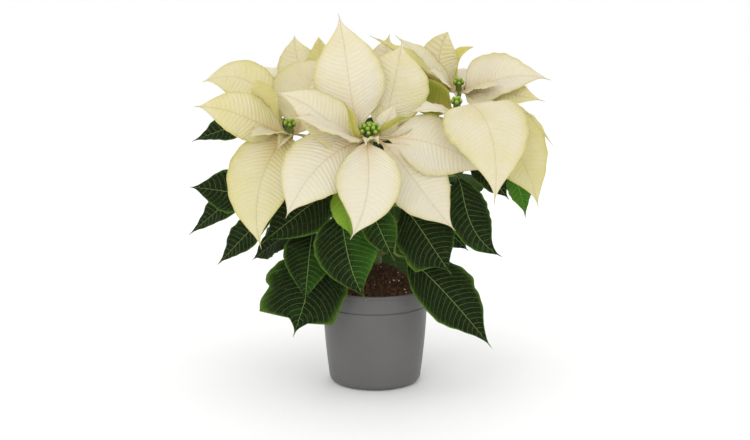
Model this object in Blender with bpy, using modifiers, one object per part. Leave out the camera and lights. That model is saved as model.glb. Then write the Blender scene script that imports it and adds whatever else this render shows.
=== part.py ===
"""Potted poinsettia with cream bracts, in a 12 cm plastic nursery pot.

Metres, +Z up. The origin is the middle of the pot's flat base, and the plant's front looks along -Y.
Six leafy stems fork from one trunk. Each carries a rosette of bracts with a cluster of buds in it.
"""

import math

import bmesh
import bpy
from mathutils import Matrix, Vector, noise

OBJECT_NAME = "potted_poinsettia"
GAP = 0.0003

# Pot
POT_HEIGHT = 0.112
POT_RIM_RADIUS = 0.061
POT_WALL_TOP = 0.0602
POT_WALL_LOW = 0.0530
POT_BASE_RADIUS = 0.0450
POT_WALL = 0.0015
POT_FLOOR = 0.0025
POT_LIP_HEIGHT = 0.0035
POT_COLLAR_HEIGHT = 0.020
POT_GROOVE = 0.0012
POT_BASE_ROUNDING = 0.008
POT_BOW = 0.0010
POT_STEPS = 26
DRAIN_HOLES = 6
DRAIN_HOLE_RADIUS = 0.0045
DRAIN_CIRCLE_RADIUS = 0.027

# Soil
SOIL_EDGE_HEIGHT = 0.1085
SOIL_HEAP_HEIGHT = 0.137
SOIL_LUMP = 0.0016
SOIL_STEPS = 20

# Stems
TRUNK_RADIUS = 0.0045
TRUNK_FOOT = Vector((0.003, 0.0, 0.075))
TRUNK_TOP = Vector((0.003, 0.0, 0.168))
BRANCH_RADIUS = 0.0031
STUB_LENGTH = 0.011
STRAIGHT_END = 0.003
BRANCH_HANDLE = 0.35
PETIOLE_RADIUS = 0.0014
PETIOLE_STEPS = 2

# Blades
BLADE_THICKNESS = 0.0008
STALK_WIDTH = 0.0032
TIP_WIDTH = 0.0014
STALK_SHARE = 0.07
LOBE_SPREAD = 0.15
LOBE_REACH = 0.33
DRIP = 1.15
RIPPLES = 2.5

# Rosettes
RECEPTACLE_RADIUS = 0.0036
RECEPTACLE_HEIGHT = 0.0095
RECEPTACLE_DROP = 0.0145
BRACT_DROP = 0.0085

# Buds: each ring is how many, how far out as a share of the cluster's radius, and how high.
BUD_RADIUS = 0.0028
BUD_SIDES = 5
BUD_STRETCH = 1.3
DOME_LOW_RADIUS = 0.003
DOME_HEIGHT = 0.0042
HEAD_LEAN = 25
LARGE_CLUSTER = 0.008
LARGE_RINGS = ((1, 0.0, 0.0072), (5, 0.46, 0.0062), (8, 0.88, 0.0042))
SMALL_RINGS = ((1, 0.0, 0.0066), (5, 0.75, 0.0046))

FRONT = (0.0, -1.0, 0.4)
UP = (0.0, 0.0, 1.0)

# Colours are linear RGB, read from the photo by eye.
CREAM = (0.80, 0.74, 0.46)
LEAF_GREEN = (0.025, 0.09, 0.018)
BUD_GREEN = (0.12, 0.36, 0.05)
STEM_GREEN = (0.14, 0.19, 0.05)
SOIL_BROWN = (0.055, 0.028, 0.014)
POT_GREY = (0.155, 0.155, 0.16)


def toward(azimuth, elevation, length):
    """The step from a rosette to a tip that lies out of the front view, angles in degrees."""
    level = math.cos(math.radians(elevation)) * length
    turn = math.radians(azimuth)
    rise = math.sin(math.radians(elevation)) * length
    return Vector((level * math.cos(turn), level * math.sin(turn), rise))


def blade(tip, width, face=UP, out=0.016, rise=0.010, swing=0.0, sink=0.0, **extra):
    """One bract or leaf: where its tip is, how wide it is, and how it bends and folds.

    face is the side its upper surface looks to. out is how far it runs level from its base before
    it bends and sink how far it dips there, rise and swing are how far it bows up and sideways, fold
    lifts both halves in degrees, wave ripples the margins, and lobes are (place, size, side) points
    of the margin. drip draws the tip out and foot narrows the base. gather above 1 brings the rows
    of faces nearer the stalk.
    """
    shape = dict(tip=Vector(tip), width=width, face=Vector(face), out=out, rise=rise, swing=swing, sink=sink)
    shape.update(dict(broad=0.42, taper=0.95, drip=DRIP, fold=6.0, wave=0.0015, lobes=(), drop=0.004))
    shape.update(dict(base=None, at=None, foot=0.0, across=4, along=6, gather=1.35))
    shape.update(extra)
    return shape


def leaf(at, base, tip, width, **extra):
    """A green leaf: at is the share of the way up its stem where its petiole grows."""
    shape = dict(rise=0.006, fold=7.0, wave=0.002, gather=1.0)
    shape.update(extra)
    return blade(tip, width, at=at, base=Vector(base), **shape)


def behind(head, azimuth, elevation, length, width, rise=0.016, along=5, **extra):
    """A bract out of the front view, by its direction from the rosette's middle."""
    return blade(head + toward(azimuth, elevation, length), width, rise=rise, across=2, along=along, **extra)


def leaf_away(at, azimuth, reach, elevation, length, width, **extra):
    """A green leaf out of the front view, by its direction from the stem: reach is its petiole's."""
    shape = leaf(at, (0, 0, 0), (0, 0, 0), width, across=2, along=4, **extra)
    shape["away"] = (azimuth, reach, elevation, length)
    return shape


# Rosettes: the middle of the buds, the buds' radius, and the bracts, those seen from the front first.
FRONT_HEAD = Vector((-0.006, -0.070, 0.302))
LEFT_HEAD = Vector((-0.094, -0.030, 0.303))
RIGHT_HEAD = Vector((0.091, -0.010, 0.326))
BACK_LEFT_HEAD = Vector((-0.070, 0.092, 0.340))
BACK_RIGHT_HEAD = Vector((0.099, 0.085, 0.339))
BACK_HEAD = Vector((0.014, 0.125, 0.334))

BRACTS = {
    "front": [
        blade((-0.040, -0.030, 0.423), 0.080, face=(0.1, -1, 0.2), out=0.030, sink=0.006, rise=-0.014,
              broad=0.47, fold=5, taper=1.0, foot=1.4),
        blade((0.030, -0.004, 0.390), 0.080, face=(0.12, -1, 0.2), out=0.028, sink=0.006, rise=-0.014,
              swing=0.010, broad=0.58, taper=0.8, fold=14, foot=0.8),
        blade((-0.108, -0.085, 0.342), 0.056, face=(0.1, -1, 0.6), out=0.032, sink=0.006, rise=0.006,
              swing=0.014, broad=0.34, taper=0.8, drop=0.0035),
        blade((-0.088, -0.108, 0.318), 0.054, face=(0, -0.35, 1), rise=0.006, fold=3, across=2, along=5),
        blade((-0.094, -0.125, 0.213), 0.076, face=(-0.1, -1, 0.6), out=0.030, rise=0.016, swing=0.021,
              broad=0.44, taper=0.8, fold=4, foot=0.8),
        blade((-0.026, -0.145, 0.194), 0.070, face=(0, -1, 0.5), out=0.030, rise=0.018, swing=-0.024,
              broad=0.45, taper=1.0, fold=5, foot=0.5),
        blade((0.087, -0.092, 0.193), 0.070, face=(0.2, -1, 0.4), out=0.022, sink=-0.004, rise=-0.002,
              broad=0.46, fold=8, foot=1.2),
        blade((0.125, -0.060, 0.249), 0.074, face=(0.1, -0.9, 0.6), out=0.024, rise=0.020, swing=-0.022,
              broad=0.44, fold=-7, drop=0.002, foot=2.0),
        blade((-0.010, -0.103, 0.287), 0.011, out=0.012, sink=0.002, drop=0.002, across=2, along=4),
        blade((0.004, -0.098, 0.288), 0.009, out=0.012, sink=0.002, drop=0.002, across=2, along=4),
        blade((0.040, -0.062, 0.313), 0.012, face=(0, -0.6, 0.8), fold=35, drop=0.0, across=2, along=4),
        blade((-0.034, -0.078, 0.331), 0.012, face=(0, -0.9, 0.5), out=0.024, sink=0.004, fold=30,
              across=2, along=4),
        blade((0.024, -0.052, 0.329), 0.026, face=FRONT, out=0.020, rise=-0.006, across=2, along=4),
        behind(FRONT_HEAD, 44, -4, 0.078, 0.052, rise=0.006, along=4),
    ],
    "left": [
        blade((-0.195, 0.010, 0.345), 0.050, face=(0, -1, 0.5), out=0.020, sink=0.004, rise=0.010,
              swing=0.066, broad=0.6, taper=0.8, fold=-8),
        blade((-0.196, -0.058, 0.324), 0.052, face=(0, -1, 0.4), out=0.024, rise=0.014, swing=0.012,
              broad=0.44, taper=0.8, drop=0.003),
        blade((-0.121, -0.115, 0.178), 0.080, face=(-0.2, -1, 0.4), out=0.026, rise=0.016, swing=0.032,
              broad=0.34, taper=0.8, fold=5),
        blade((-0.048, 0.000, 0.371), 0.078, face=(0.1, -1, 0.3), out=0.022, sink=0.004, rise=-0.012,
              swing=-0.026, broad=0.48, across=2),
        blade((-0.136, -0.078, 0.292), 0.044, face=(0, -0.15, 1), fold=10, drop=0.0048, across=2, along=5),
        blade((-0.106, -0.078, 0.279), 0.016, face=FRONT, fold=25, across=2, along=4),
        behind(LEFT_HEAD, 44, -30, 0.080, 0.054, rise=0.002, along=4),
        blade((-0.130, -0.040, 0.351), 0.032, face=(0.4, 1, 0.5), out=0.014, rise=0.008, broad=0.70,
              taper=0.6, drip=0, foot=0.8, fold=-14, across=2, along=4),
    ],
    "right": [
        blade((0.126, -0.112, 0.223), 0.094, face=(0.1, -1, 0.6), out=0.046, sink=-0.030, rise=0.052,
              swing=-0.028, broad=0.38, taper=1.15, fold=-5),
        blade((0.182, -0.040, 0.208), 0.080, face=(0.4, -1, 0.4), out=0.030, rise=0.022, swing=-0.030),
        blade((0.038, -0.062, 0.319), 0.032, face=(0, -0.5, 1), rise=0.010, swing=-0.010, fold=10,
              across=2, along=5),
        blade((0.032, 0.026, 0.344), 0.048, face=(0, -0.8, 0.7), swing=-0.006, across=2, along=5),
        behind(RIGHT_HEAD, 14, -14, 0.098, 0.054, rise=0.020, drop=0.003),
        behind(RIGHT_HEAD, 68, -24, 0.090, 0.050, along=4),
    ],
    "back_left": [
        blade((-0.097, 0.125, 0.391), 0.056, face=(0.1, -1, 0.2), rise=-0.010, swing=-0.012, across=2,
              along=5, drip=0.5),
        blade((-0.067, 0.105, 0.390), 0.036, face=(0.3, 1, 0.3), rise=0.010, across=2, along=5, drip=0),
        behind(BACK_LEFT_HEAD, 188, -14, 0.095, 0.054, rise=0.014, drop=0.0055),
        behind(BACK_LEFT_HEAD, 150, 5, 0.105, 0.060, rise=0.018),
        behind(BACK_LEFT_HEAD, 118, -8, 0.112, 0.064, out=0.024, rise=0.020),
        behind(BACK_LEFT_HEAD, 90, 12, 0.098, 0.058),
        behind(BACK_LEFT_HEAD, 62, -20, 0.088, 0.054, along=4),
        behind(BACK_LEFT_HEAD, 320, -12, 0.088, 0.058, rise=0.012, along=4),
        behind(BACK_LEFT_HEAD, 262, -20, 0.070, 0.044, rise=0.012, along=4),
    ],
    "back_right": [
        blade((-0.006, 0.050, 0.395), 0.042, face=(0, -0.3, 1), rise=0.004, fold=20, across=2),
        blade((0.087, 0.105, 0.396), 0.046, face=(-0.1, -1, 0.1), out=0.020, sink=0.004, rise=-0.014,
              swing=-0.032, broad=0.55, taper=0.8, drip=0.2, fold=10),
        blade((0.119, 0.130, 0.377), 0.012, face=(0, -1, 0.3), rise=0.010, swing=-0.040, broad=0.6, drip=0,
              across=2, along=5),
        blade((0.206, 0.070, 0.342), 0.080, face=(0, -0.7, 0.8), rise=0.034, fold=12, broad=0.25,
              taper=0.9),
        blade((0.196, 0.040, 0.320), 0.050, face=(0, -0.6, 0.9), across=2, along=5),
        blade((0.207, 0.030, 0.268), 0.030, face=(0.2, -0.2, 1), out=0.030, rise=0.030, across=2, along=5),
        blade((0.058, 0.034, 0.356), 0.036, face=(0, -0.7, 0.8), out=0.020, across=2, along=4),
        blade((0.145, 0.034, 0.338), 0.024, face=(0, -0.6, 1), rise=0.008, across=2, along=5),
        blade((0.024, 0.088, 0.393), 0.040, face=(0, -0.6, 0.9), rise=0.004, across=2, along=4),
        behind(BACK_RIGHT_HEAD, 32, -6, 0.104, 0.056),
        behind(BACK_RIGHT_HEAD, 62, 0, 0.108, 0.062, rise=0.020),
        behind(BACK_RIGHT_HEAD, 102, 4, 0.100, 0.060, rise=0.018),
        behind(BACK_RIGHT_HEAD, 208, -6, 0.088, 0.054, rise=0.010, drop=0.0036, along=4),
    ],
    "back": [
        blade((0.018, 0.140, 0.392), 0.050, face=(0, -1, 0.2), rise=-0.012, swing=-0.010, across=2, along=5),
        behind(BACK_HEAD, 90, 4, 0.110, 0.064, rise=0.022),
        behind(BACK_HEAD, 55, -12, 0.108, 0.062, out=0.024, rise=0.022),
        behind(BACK_HEAD, 122, -14, 0.108, 0.062, out=0.024, rise=0.022),
        behind(BACK_HEAD, 262, 28, 0.060, 0.038, rise=-0.004, along=4),
        behind(BACK_HEAD, 280, -22, 0.084, 0.054, rise=0.012, along=4),
    ],
}

LEAVES = {
    "front": [
        leaf(0.50, (-0.034, -0.050, 0.236), (-0.124, -0.076, 0.176), 0.068, face=(-0.1, -1, 0.8),
             across=2),
        leaf(0.42, (-0.042, -0.070, 0.212), (-0.009, -0.110, 0.120), 0.070, face=(0, -1, 0.4),
             swing=0.014, broad=0.37, taper=1.05),
        leaf(0.62, (-0.015, -0.088, 0.221), (0.021, -0.110, 0.164), 0.038, face=(0.1, -1, 0.4), across=2),
        leaf(0.56, (-0.043, -0.076, 0.236), (-0.025, -0.099, 0.187), 0.034, face=(0.3, -1, 0.3), across=2,
             along=5),
        leaf(0.34, (0.024, -0.052, 0.214), (0.084, -0.074, 0.141), 0.068, face=(0.1, -1, 0.4),
             lobes=((0.67, 0.25, 1),)),
        leaf_away(0.88, 86, 0.016, 13, 0.076, 0.066),
    ],
    "left": [
        leaf(0.72, (-0.120, -0.006, 0.214), (-0.211, -0.004, 0.227), 0.058, face=(0, -1, 0.9), across=2),
        leaf(0.60, (-0.126, 0.032, 0.231), (-0.220, 0.048, 0.161), 0.041, face=(-0.3, -0.8, 0.7),
             across=2, along=5),
        leaf(0.48, (-0.106, -0.006, 0.203), (-0.183, 0.010, 0.133), 0.040, face=(-0.4, -0.9, 0.6),
             across=2, along=5),
        leaf(0.30, (-0.085, 0.024, 0.170), (-0.146, 0.046, 0.131), 0.046, face=(-0.3, -0.6, 0.8), across=2,
             lobes=((0.5, 0.3, 1),)),
        leaf(0.24, (-0.069, -0.044, 0.182), (-0.076, -0.104, 0.115), 0.058, face=(0, -0.7, 0.8), broad=0.3,
             across=2),
        leaf(0.08, (-0.056, -0.044, 0.158), (-0.090, -0.084, 0.073), 0.088, face=(0, -1, 0.5), along=9,
             broad=0.36, taper=1.1, lobes=((0.33, 0.06, 1), (0.44, 0.13, 1), (0.67, 0.55, 1),
                                           (0.67, 0.28, -1))),
    ],
    "right": [
        leaf(0.56, (0.088, -0.038, 0.245), (0.141, -0.062, 0.158), 0.050, face=(0.3, -1, 0.4), swing=0.037,
             broad=0.4),
        leaf(0.08, (0.028, -0.047, 0.156), (0.130, -0.074, 0.057), 0.063, face=(0.2, -1, 0.5), swing=-0.006,
             broad=0.38, along=9, lobes=((0.56, 0.04, 1), (0.44, 0.12, -1), (0.67, 0.08, -1))),
        leaf(0.34, (0.056, 0.014, 0.190), (0.108, 0.004, 0.151), 0.040, face=(0.2, -1, 0.6), across=2,
             along=5),
        leaf(0.76, (0.102, -0.016, 0.262), (0.150, -0.034, 0.217), 0.042, face=(0.3, -1, 0.8), across=2,
             along=5),
        leaf(0.84, (0.134, 0.000, 0.258), (0.172, 0.000, 0.190), 0.034, face=(0.3, -1, 0.4), swing=-0.014,
             across=2),
        leaf_away(0.74, 46, 0.040, -32, 0.090, 0.056),
        leaf_away(0.52, 66, 0.046, -30, 0.086, 0.052),
        leaf_away(0.66, 150, 0.024, -6, 0.080, 0.058),
    ],
    "back_left": [
        leaf(0.75, (-0.126, 0.060, 0.297), (-0.214, 0.052, 0.272), 0.040, face=(0, -0.7, 0.8), across=2),
        leaf_away(0.78, 125, 0.045, -30, 0.098, 0.062),
        leaf_away(0.55, 158, 0.050, -38, 0.096, 0.062),
        leaf_away(0.55, 95, 0.050, -42, 0.098, 0.062),
        leaf_away(0.30, 130, 0.055, -48, 0.094, 0.062),
        leaf_away(0.60, 262, 0.022, -10, 0.072, 0.054),
    ],
    "back_right": [
        leaf_away(0.78, 55, 0.045, -30, 0.096, 0.060),
        leaf_away(0.56, 85, 0.050, -42, 0.096, 0.060),
        leaf_away(0.56, 22, 0.050, -38, 0.094, 0.058),
        leaf_away(0.30, 48, 0.055, -48, 0.094, 0.062),
    ],
    "back": [
        leaf_away(0.78, 90, 0.045, -32, 0.094, 0.060),
        leaf_away(0.52, 70, 0.050, -44, 0.094, 0.060),
        leaf_away(0.40, 108, 0.055, -48, 0.094, 0.062),
        leaf_away(0.30, 75, 0.022, -55, 0.094, 0.066),
        leaf(0.10, (0.014, 0.036, 0.172), (0.030, 0.098, 0.084), 0.064, face=(0, 0.6, 0.8), across=2,
             along=4, broad=0.52, taper=0.7),
    ],
}


class Stem:
    """A branch from the trunk's stub to the underside of its rosette, as one smooth curve."""

    def __init__(self, name, head, fork_height, leave, bud_radius):
        self.name = name
        self.head = head
        self.bud_radius = bud_radius
        self.leave = Vector(leave).normalized()
        share = (fork_height - TRUNK_FOOT.z) / (TRUNK_TOP.z - TRUNK_FOOT.z)
        self.fork = TRUNK_FOOT.lerp(TRUNK_TOP, share)
        self.start = self.fork + self.leave * (STUB_LENGTH + GAP)
        self.end = head - Vector((0, 0, RECEPTACLE_DROP + GAP))
        self.bud_floor = head.z - RECEPTACLE_DROP + RECEPTACLE_HEIGHT + GAP

    def point(self, share):
        """A point of the branch's middle line between its two short straight ends."""
        low = self.start + self.leave * STRAIGHT_END
        high = self.end - Vector((0, 0, STRAIGHT_END))
        handle = BRANCH_HANDLE * (high - low).length
        return bezier(low, low + self.leave * handle, high - Vector((0, 0, handle)), high, share)

    def line(self, steps):
        """The branch's whole middle line, both straight ends included."""
        return [self.start] + [self.point(step / steps) for step in range(steps + 1)] + [self.end]


STEMS = [
    Stem("front", FRONT_HEAD, 0.158, (-0.05, -0.65, 0.75), 0.0105),
    Stem("left", LEFT_HEAD, 0.150, (-0.75, -0.12, 0.65), 0.006),
    Stem("right", RIGHT_HEAD, 0.146, (0.75, -0.10, 0.65), 0.006),
    Stem("back_left", BACK_LEFT_HEAD, 0.160, (-0.50, 0.50, 0.70), 0.007),
    Stem("back_right", BACK_RIGHT_HEAD, 0.153, (0.58, 0.45, 0.68), 0.006),
    Stem("back", BACK_HEAD, 0.168, (0.08, 0.55, 0.83), 0.007),
]


def bezier(start, first, last, end, share):
    """A point of a cubic curve."""
    rest = 1 - share
    return (start * rest**3 + first * (3 * rest**2 * share)
            + last * (3 * rest * share**2) + end * share**3)


def blade_frame(shape):
    """The midrib's four control points and the blade's side direction."""
    base, tip = shape["base"], shape["tip"]
    chord = tip - base
    side = chord.cross(shape["face"]).normalized()
    normal = side.cross(chord).normalized()
    level = Vector((chord.x, chord.y, 0)).normalized()
    first = base + level * shape["out"] - Vector((0, 0, shape["sink"]))
    last = base.lerp(tip, 0.55) + normal * shape["rise"] + side * shape["swing"]
    return (base, first, last, tip), side


def even_share(controls, share):
    """The curve's own parameter at a share of its length, so that a blade's outline isn't stretched."""
    points = [bezier(*controls, step / 16) for step in range(17)]
    steps = [(after - before).length for before, after in zip(points, points[1:])]
    left = share * sum(steps)
    for index, step in enumerate(steps):
        if left <= step:
            return (index + left / step) / 16
        left -= step
    return 1.0


def half_width(shape, share):
    """Half the blade's width at a share of its length: a short stalk, a broad middle and a long point."""
    if share < STALK_SHARE:
        return STALK_WIDTH / 2
    along = (share - STALK_SHARE) / (1 - STALK_SHARE)
    skew = math.log(0.5) / math.log(shape["broad"])
    power = shape["taper"] + shape["drip"] * along**4 + shape["foot"] * (1 - along) ** 4
    round_part = math.sin(math.pi * min(along**skew, 1)) ** power
    return max(shape["width"] / 2 * round_part, STALK_WIDTH / 2 if along < 0.5 else TIP_WIDTH / 2)


def lobe_at(shape, side, share):
    """How far a pointed lobe pushes the margin out, as a share of the half width."""
    push = 0.0
    for place, size, lobe_side in shape["lobes"]:
        if side * lobe_side > 0:
            push = max(push, size * max(0.0, 1 - abs(share - place) / LOBE_SPREAD))
    return push


def blade_point(shape, side_share, share):
    """A point of the blade's middle surface: side_share runs from -1 to 1 across, share from base to tip."""
    controls, side = blade_frame(shape)
    push = lobe_at(shape, side_share, share) * abs(side_share) ** 3
    half = half_width(shape, share)
    share = min(share + LOBE_REACH * push, 1)
    place = even_share(controls, share)
    here = bezier(*controls, place)
    ahead = bezier(*controls, min(place + 0.01, 1))
    tangent = (ahead - bezier(*controls, max(place - 0.01, 0))).normalized()
    across = (side - tangent * side.dot(tangent)).normalized()
    normal = across.cross(tangent)
    fold = math.radians(shape["fold"])
    reach = half * abs(side_share) * (1 + push)
    lift = reach * math.sin(fold)
    start = 700 * shape["width"] + (1.3 if side_share > 0 else 0)
    ripple = math.sin(share * 2 * math.pi * RIPPLES + start)
    lift += shape["wave"] * ripple * side_share**2 * math.sin(math.pi * share)
    return here + across * math.copysign(reach * math.cos(fold), side_share) + normal * lift


def make_blade(name, shape):
    """A thin closed blade: an open surface with a thickness, split into triangles alike on both faces."""
    bm = bmesh.new()
    bmesh.ops.create_grid(bm, x_segments=shape["across"], y_segments=shape["along"], size=1.0)
    for vert in bm.verts:
        vert.co = blade_point(shape, vert.co.x, ((vert.co.y + 1) / 2) ** shape["gather"])
    bmesh.ops.triangulate(bm, faces=bm.faces[:], quad_method="FIXED")
    obj = object_of(name, bm)
    shell = obj.modifiers.new("Thickness", "SOLIDIFY")
    shell.thickness = BLADE_THICKNESS
    shell.offset = 0.0
    return obj


def mesh_of(obj):
    """The object's evaluated mesh as an object of its own, with the loose caps of a curve welded."""
    bpy.context.view_layer.update()
    graph = bpy.context.evaluated_depsgraph_get()
    mesh = bpy.data.meshes.new_from_object(obj.evaluated_get(graph))
    bm = bmesh.new()
    bm.from_mesh(mesh)
    bmesh.ops.remove_doubles(bm, verts=bm.verts[:], dist=0.00001)
    bm.to_mesh(mesh)
    bm.free()
    made = bpy.data.objects.new(obj.name, mesh)
    made.matrix_world = obj.matrix_world.copy()
    name = obj.name
    bpy.data.objects.remove(obj)
    made.name = name
    return made


def make_tube(name, points, radius, resolution=1):
    """A round stalk through the points, closed at both ends."""
    curve = bpy.data.curves.new(name, "CURVE")
    curve.dimensions = "3D"
    curve.bevel_depth = radius
    curve.bevel_resolution = resolution
    curve.use_fill_caps = True
    spline = curve.splines.new("POLY")
    spline.points.add(len(points) - 1)
    for place, point in zip(spline.points, points):
        place.co = (*point, 1)
    obj = bpy.data.objects.new(name, curve)
    bpy.context.scene.collection.objects.link(obj)
    return mesh_of(obj)


def make_turned(name, profile, steps):
    """A turned shape: a profile on the +X side, spun round the Z axis."""
    mesh = bpy.data.meshes.new(name)
    mesh.from_pydata([(x, 0, z) for x, z in profile], [(i, i + 1) for i in range(len(profile) - 1)], [])
    obj = bpy.data.objects.new(name, mesh)
    bpy.context.scene.collection.objects.link(obj)
    turn = obj.modifiers.new("Turn", "SCREW")
    turn.steps = steps
    turn.render_steps = steps
    turn.use_merge_vertices = True
    turn.merge_threshold = 0.00001
    return mesh_of(obj)


def object_of(name, bm):
    """The finished bmesh as an object, not yet in the scene."""
    mesh = bpy.data.meshes.new(name)
    bm.to_mesh(mesh)
    bm.free()
    return bpy.data.objects.new(name, mesh)


def make_cylinder(name, radius, low, high, centre, sides):
    bm = bmesh.new()
    bmesh.ops.create_cone(bm, cap_ends=True, segments=sides, radius1=radius, radius2=radius, depth=high - low)
    obj = object_of(name, bm)
    obj.location = (*centre, (low + high) / 2)
    return obj


def connected_bodies(bm):
    """The faces of a bmesh in groups that hold together."""
    unseen = set(bm.faces)
    bodies = []
    while unseen:
        waiting = [unseen.pop()]
        body = []
        while waiting:
            face = waiting.pop()
            body.append(face)
            for edge in face.edges:
                for other in edge.link_faces:
                    if other in unseen:
                        unseen.discard(other)
                        waiting.append(other)
        bodies.append(body)
    return bodies


def keep_main_body(mesh):
    """Drops loose scraps and the walls of sealed hollows, so that one closed body is left."""
    bm = bmesh.new()
    bm.from_mesh(mesh)
    bodies = connected_bodies(bm)
    main = max(bodies, key=len)
    for body in bodies:
        if body is not main:
            bmesh.ops.delete(bm, geom=body, context="FACES")
    bm.to_mesh(mesh)
    bm.free()


def combine(name, pieces, operation="UNION", solver="EXACT"):
    """The first piece joined with all the others, or cut by them, as one closed mesh."""
    helpers = bpy.data.collections.new(name + "_helpers")
    bpy.context.scene.collection.children.link(helpers)
    core = pieces[0]
    if core.name not in bpy.context.scene.collection.objects:
        bpy.context.scene.collection.objects.link(core)
    for piece in pieces[1:]:
        for other in list(piece.users_collection):
            other.objects.unlink(piece)
        helpers.objects.link(piece)
    join = core.modifiers.new("Combine", "BOOLEAN")
    join.operation = operation
    join.operand_type = "COLLECTION"
    join.collection = helpers
    join.solver = solver
    made = mesh_of(core)
    keep_main_body(made.data)
    for piece in pieces[1:]:
        bpy.data.objects.remove(piece)
    bpy.data.collections.remove(helpers)
    made.name = name
    return made


def add_part(obj, collection, material, smooth_angle=35):
    """Files a finished piece under the plant's collection with its material and shading."""
    for other in list(obj.users_collection):
        other.objects.unlink(obj)
    collection.objects.link(obj)
    obj.data.name = obj.name
    obj.data.materials.clear()
    obj.data.materials.append(material)
    obj.data.shade_smooth()
    obj.data.set_sharp_from_angle(angle=math.radians(smooth_angle))


def make_material(name, colour, roughness):
    material = bpy.data.materials.new(name)
    material.use_nodes = True
    material.diffuse_color = (*colour, 1)
    shader = material.node_tree.nodes["Principled BSDF"]
    shader.inputs["Base Color"].default_value = (*colour, 1)
    shader.inputs["Roughness"].default_value = roughness
    shader.inputs["Metallic"].default_value = 0.0
    return material


def wall_radius(height):
    """The pot's outer radius below its collar: a straight taper, bowed out a little."""
    share = (height - POT_BASE_ROUNDING) / (POT_HEIGHT - POT_COLLAR_HEIGHT - POT_BASE_ROUNDING)
    return POT_WALL_LOW + (POT_WALL_TOP - POT_WALL_LOW) * share + POT_BOW * math.sin(math.pi * share)


def base_rounding(steps):
    """The rounded foot of the wall, as points down to the flat base."""
    points = []
    for step in range(1, steps + 1):
        turn = 0.5 * math.pi * step / steps
        radius = POT_BASE_RADIUS + (POT_WALL_LOW - POT_BASE_RADIUS) * math.cos(turn)
        height = POT_BASE_ROUNDING * (1 - math.sin(turn))
        points.append((radius, height))
    return points


def make_pot():
    """The pot: lip, collar, groove, bowed wall and flat base, open at the top, with drainage holes."""
    ledge = POT_HEIGHT - POT_COLLAR_HEIGHT
    lip = POT_HEIGHT - POT_LIP_HEIGHT
    levels = [POT_BASE_ROUNDING + (ledge - POT_BASE_ROUNDING) * share for share in (0.97, 0.6, 0)]
    outer = [
        (POT_RIM_RADIUS - 0.0009, POT_HEIGHT),
        (POT_RIM_RADIUS, POT_HEIGHT - 0.0009),
        (POT_RIM_RADIUS, lip),
        (POT_RIM_RADIUS - 0.0011, lip - 0.0007),
        (POT_WALL_TOP - 0.0002, ledge + 0.0010),
        (POT_WALL_TOP - POT_GROOVE, ledge),
    ]
    outer += [(wall_radius(level), level) for level in levels] + base_rounding(3)
    outer += [(0, 0)]
    inner = [(0, POT_FLOOR), (POT_BASE_RADIUS - POT_WALL, POT_FLOOR)]
    inner += [(wall_radius(level) - POT_WALL, level) for level in reversed(levels)]
    inner += [
        (POT_WALL_TOP - 0.0004 - POT_WALL, ledge + 0.002),
        (POT_RIM_RADIUS - 0.0026, lip),
        (POT_RIM_RADIUS - 0.0024, POT_HEIGHT),
    ]
    pot = make_turned("pot", inner + outer, POT_STEPS)
    holes = []
    for index in range(DRAIN_HOLES):
        turn = 2 * math.pi * (index + 0.5) / DRAIN_HOLES
        centre = (DRAIN_CIRCLE_RADIUS * math.cos(turn), DRAIN_CIRCLE_RADIUS * math.sin(turn))
        holes.append(make_cylinder(f"drain_{index}", DRAIN_HOLE_RADIUS, -0.002, POT_FLOOR + 0.002, centre, 8))
    return combine("pot", [pot] + holes, "DIFFERENCE")


def make_soil():
    """The root ball: it fills the pot, is heaped round the stem, and has a plain hole for the trunk."""
    ledge = POT_HEIGHT - POT_COLLAR_HEIGHT
    edge = POT_WALL_TOP - 0.0008 - POT_WALL - GAP
    profile = [(0, SOIL_HEAP_HEIGHT)]
    heap = SOIL_HEAP_HEIGHT - SOIL_EDGE_HEIGHT
    for share in (0.17, 0.33, 0.5, 0.67, 0.83):
        profile.append((share * edge, SOIL_EDGE_HEIGHT + heap * math.cos(0.5 * math.pi * share) ** 1.3))
    profile += [(edge - 0.0006, SOIL_EDGE_HEIGHT - 0.0005), (edge, ledge - 0.002)]
    for share in (0.6, 0):
        level = POT_BASE_ROUNDING + (ledge - POT_BASE_ROUNDING) * share
        profile.append((wall_radius(level) - POT_WALL - 2 * GAP, level))
    profile += [(POT_BASE_RADIUS - POT_WALL - GAP, POT_FLOOR + GAP), (0, POT_FLOOR + GAP)]
    soil = make_turned("potting_soil", profile, SOIL_STEPS)
    for vert in soil.data.vertices:
        if vert.co.z > SOIL_EDGE_HEIGHT:
            vert.co.z += SOIL_LUMP * noise.noise(vert.co * 90)
    hole = make_cylinder("stem_hole", TRUNK_RADIUS + GAP, TRUNK_FOOT.z - GAP, POT_HEIGHT + 0.05,
                         TRUNK_FOOT.xy, 16)
    return combine("potting_soil", [soil, hole], "DIFFERENCE")


def make_trunk():
    """The trunk and the stubs that it forks into."""
    points = [TRUNK_FOOT.lerp(TRUNK_TOP, share) for share in (0, 0.5, 1)]
    trunk = make_tube("main_stem", points, TRUNK_RADIUS, 2)
    stubs = []
    for stem in STEMS:
        points = [stem.fork, stem.fork + stem.leave * STUB_LENGTH]
        stubs.append(make_tube("stub_" + stem.name, points, BRANCH_RADIUS + 0.0004))
    return combine("main_stem", [trunk] + stubs)


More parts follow.
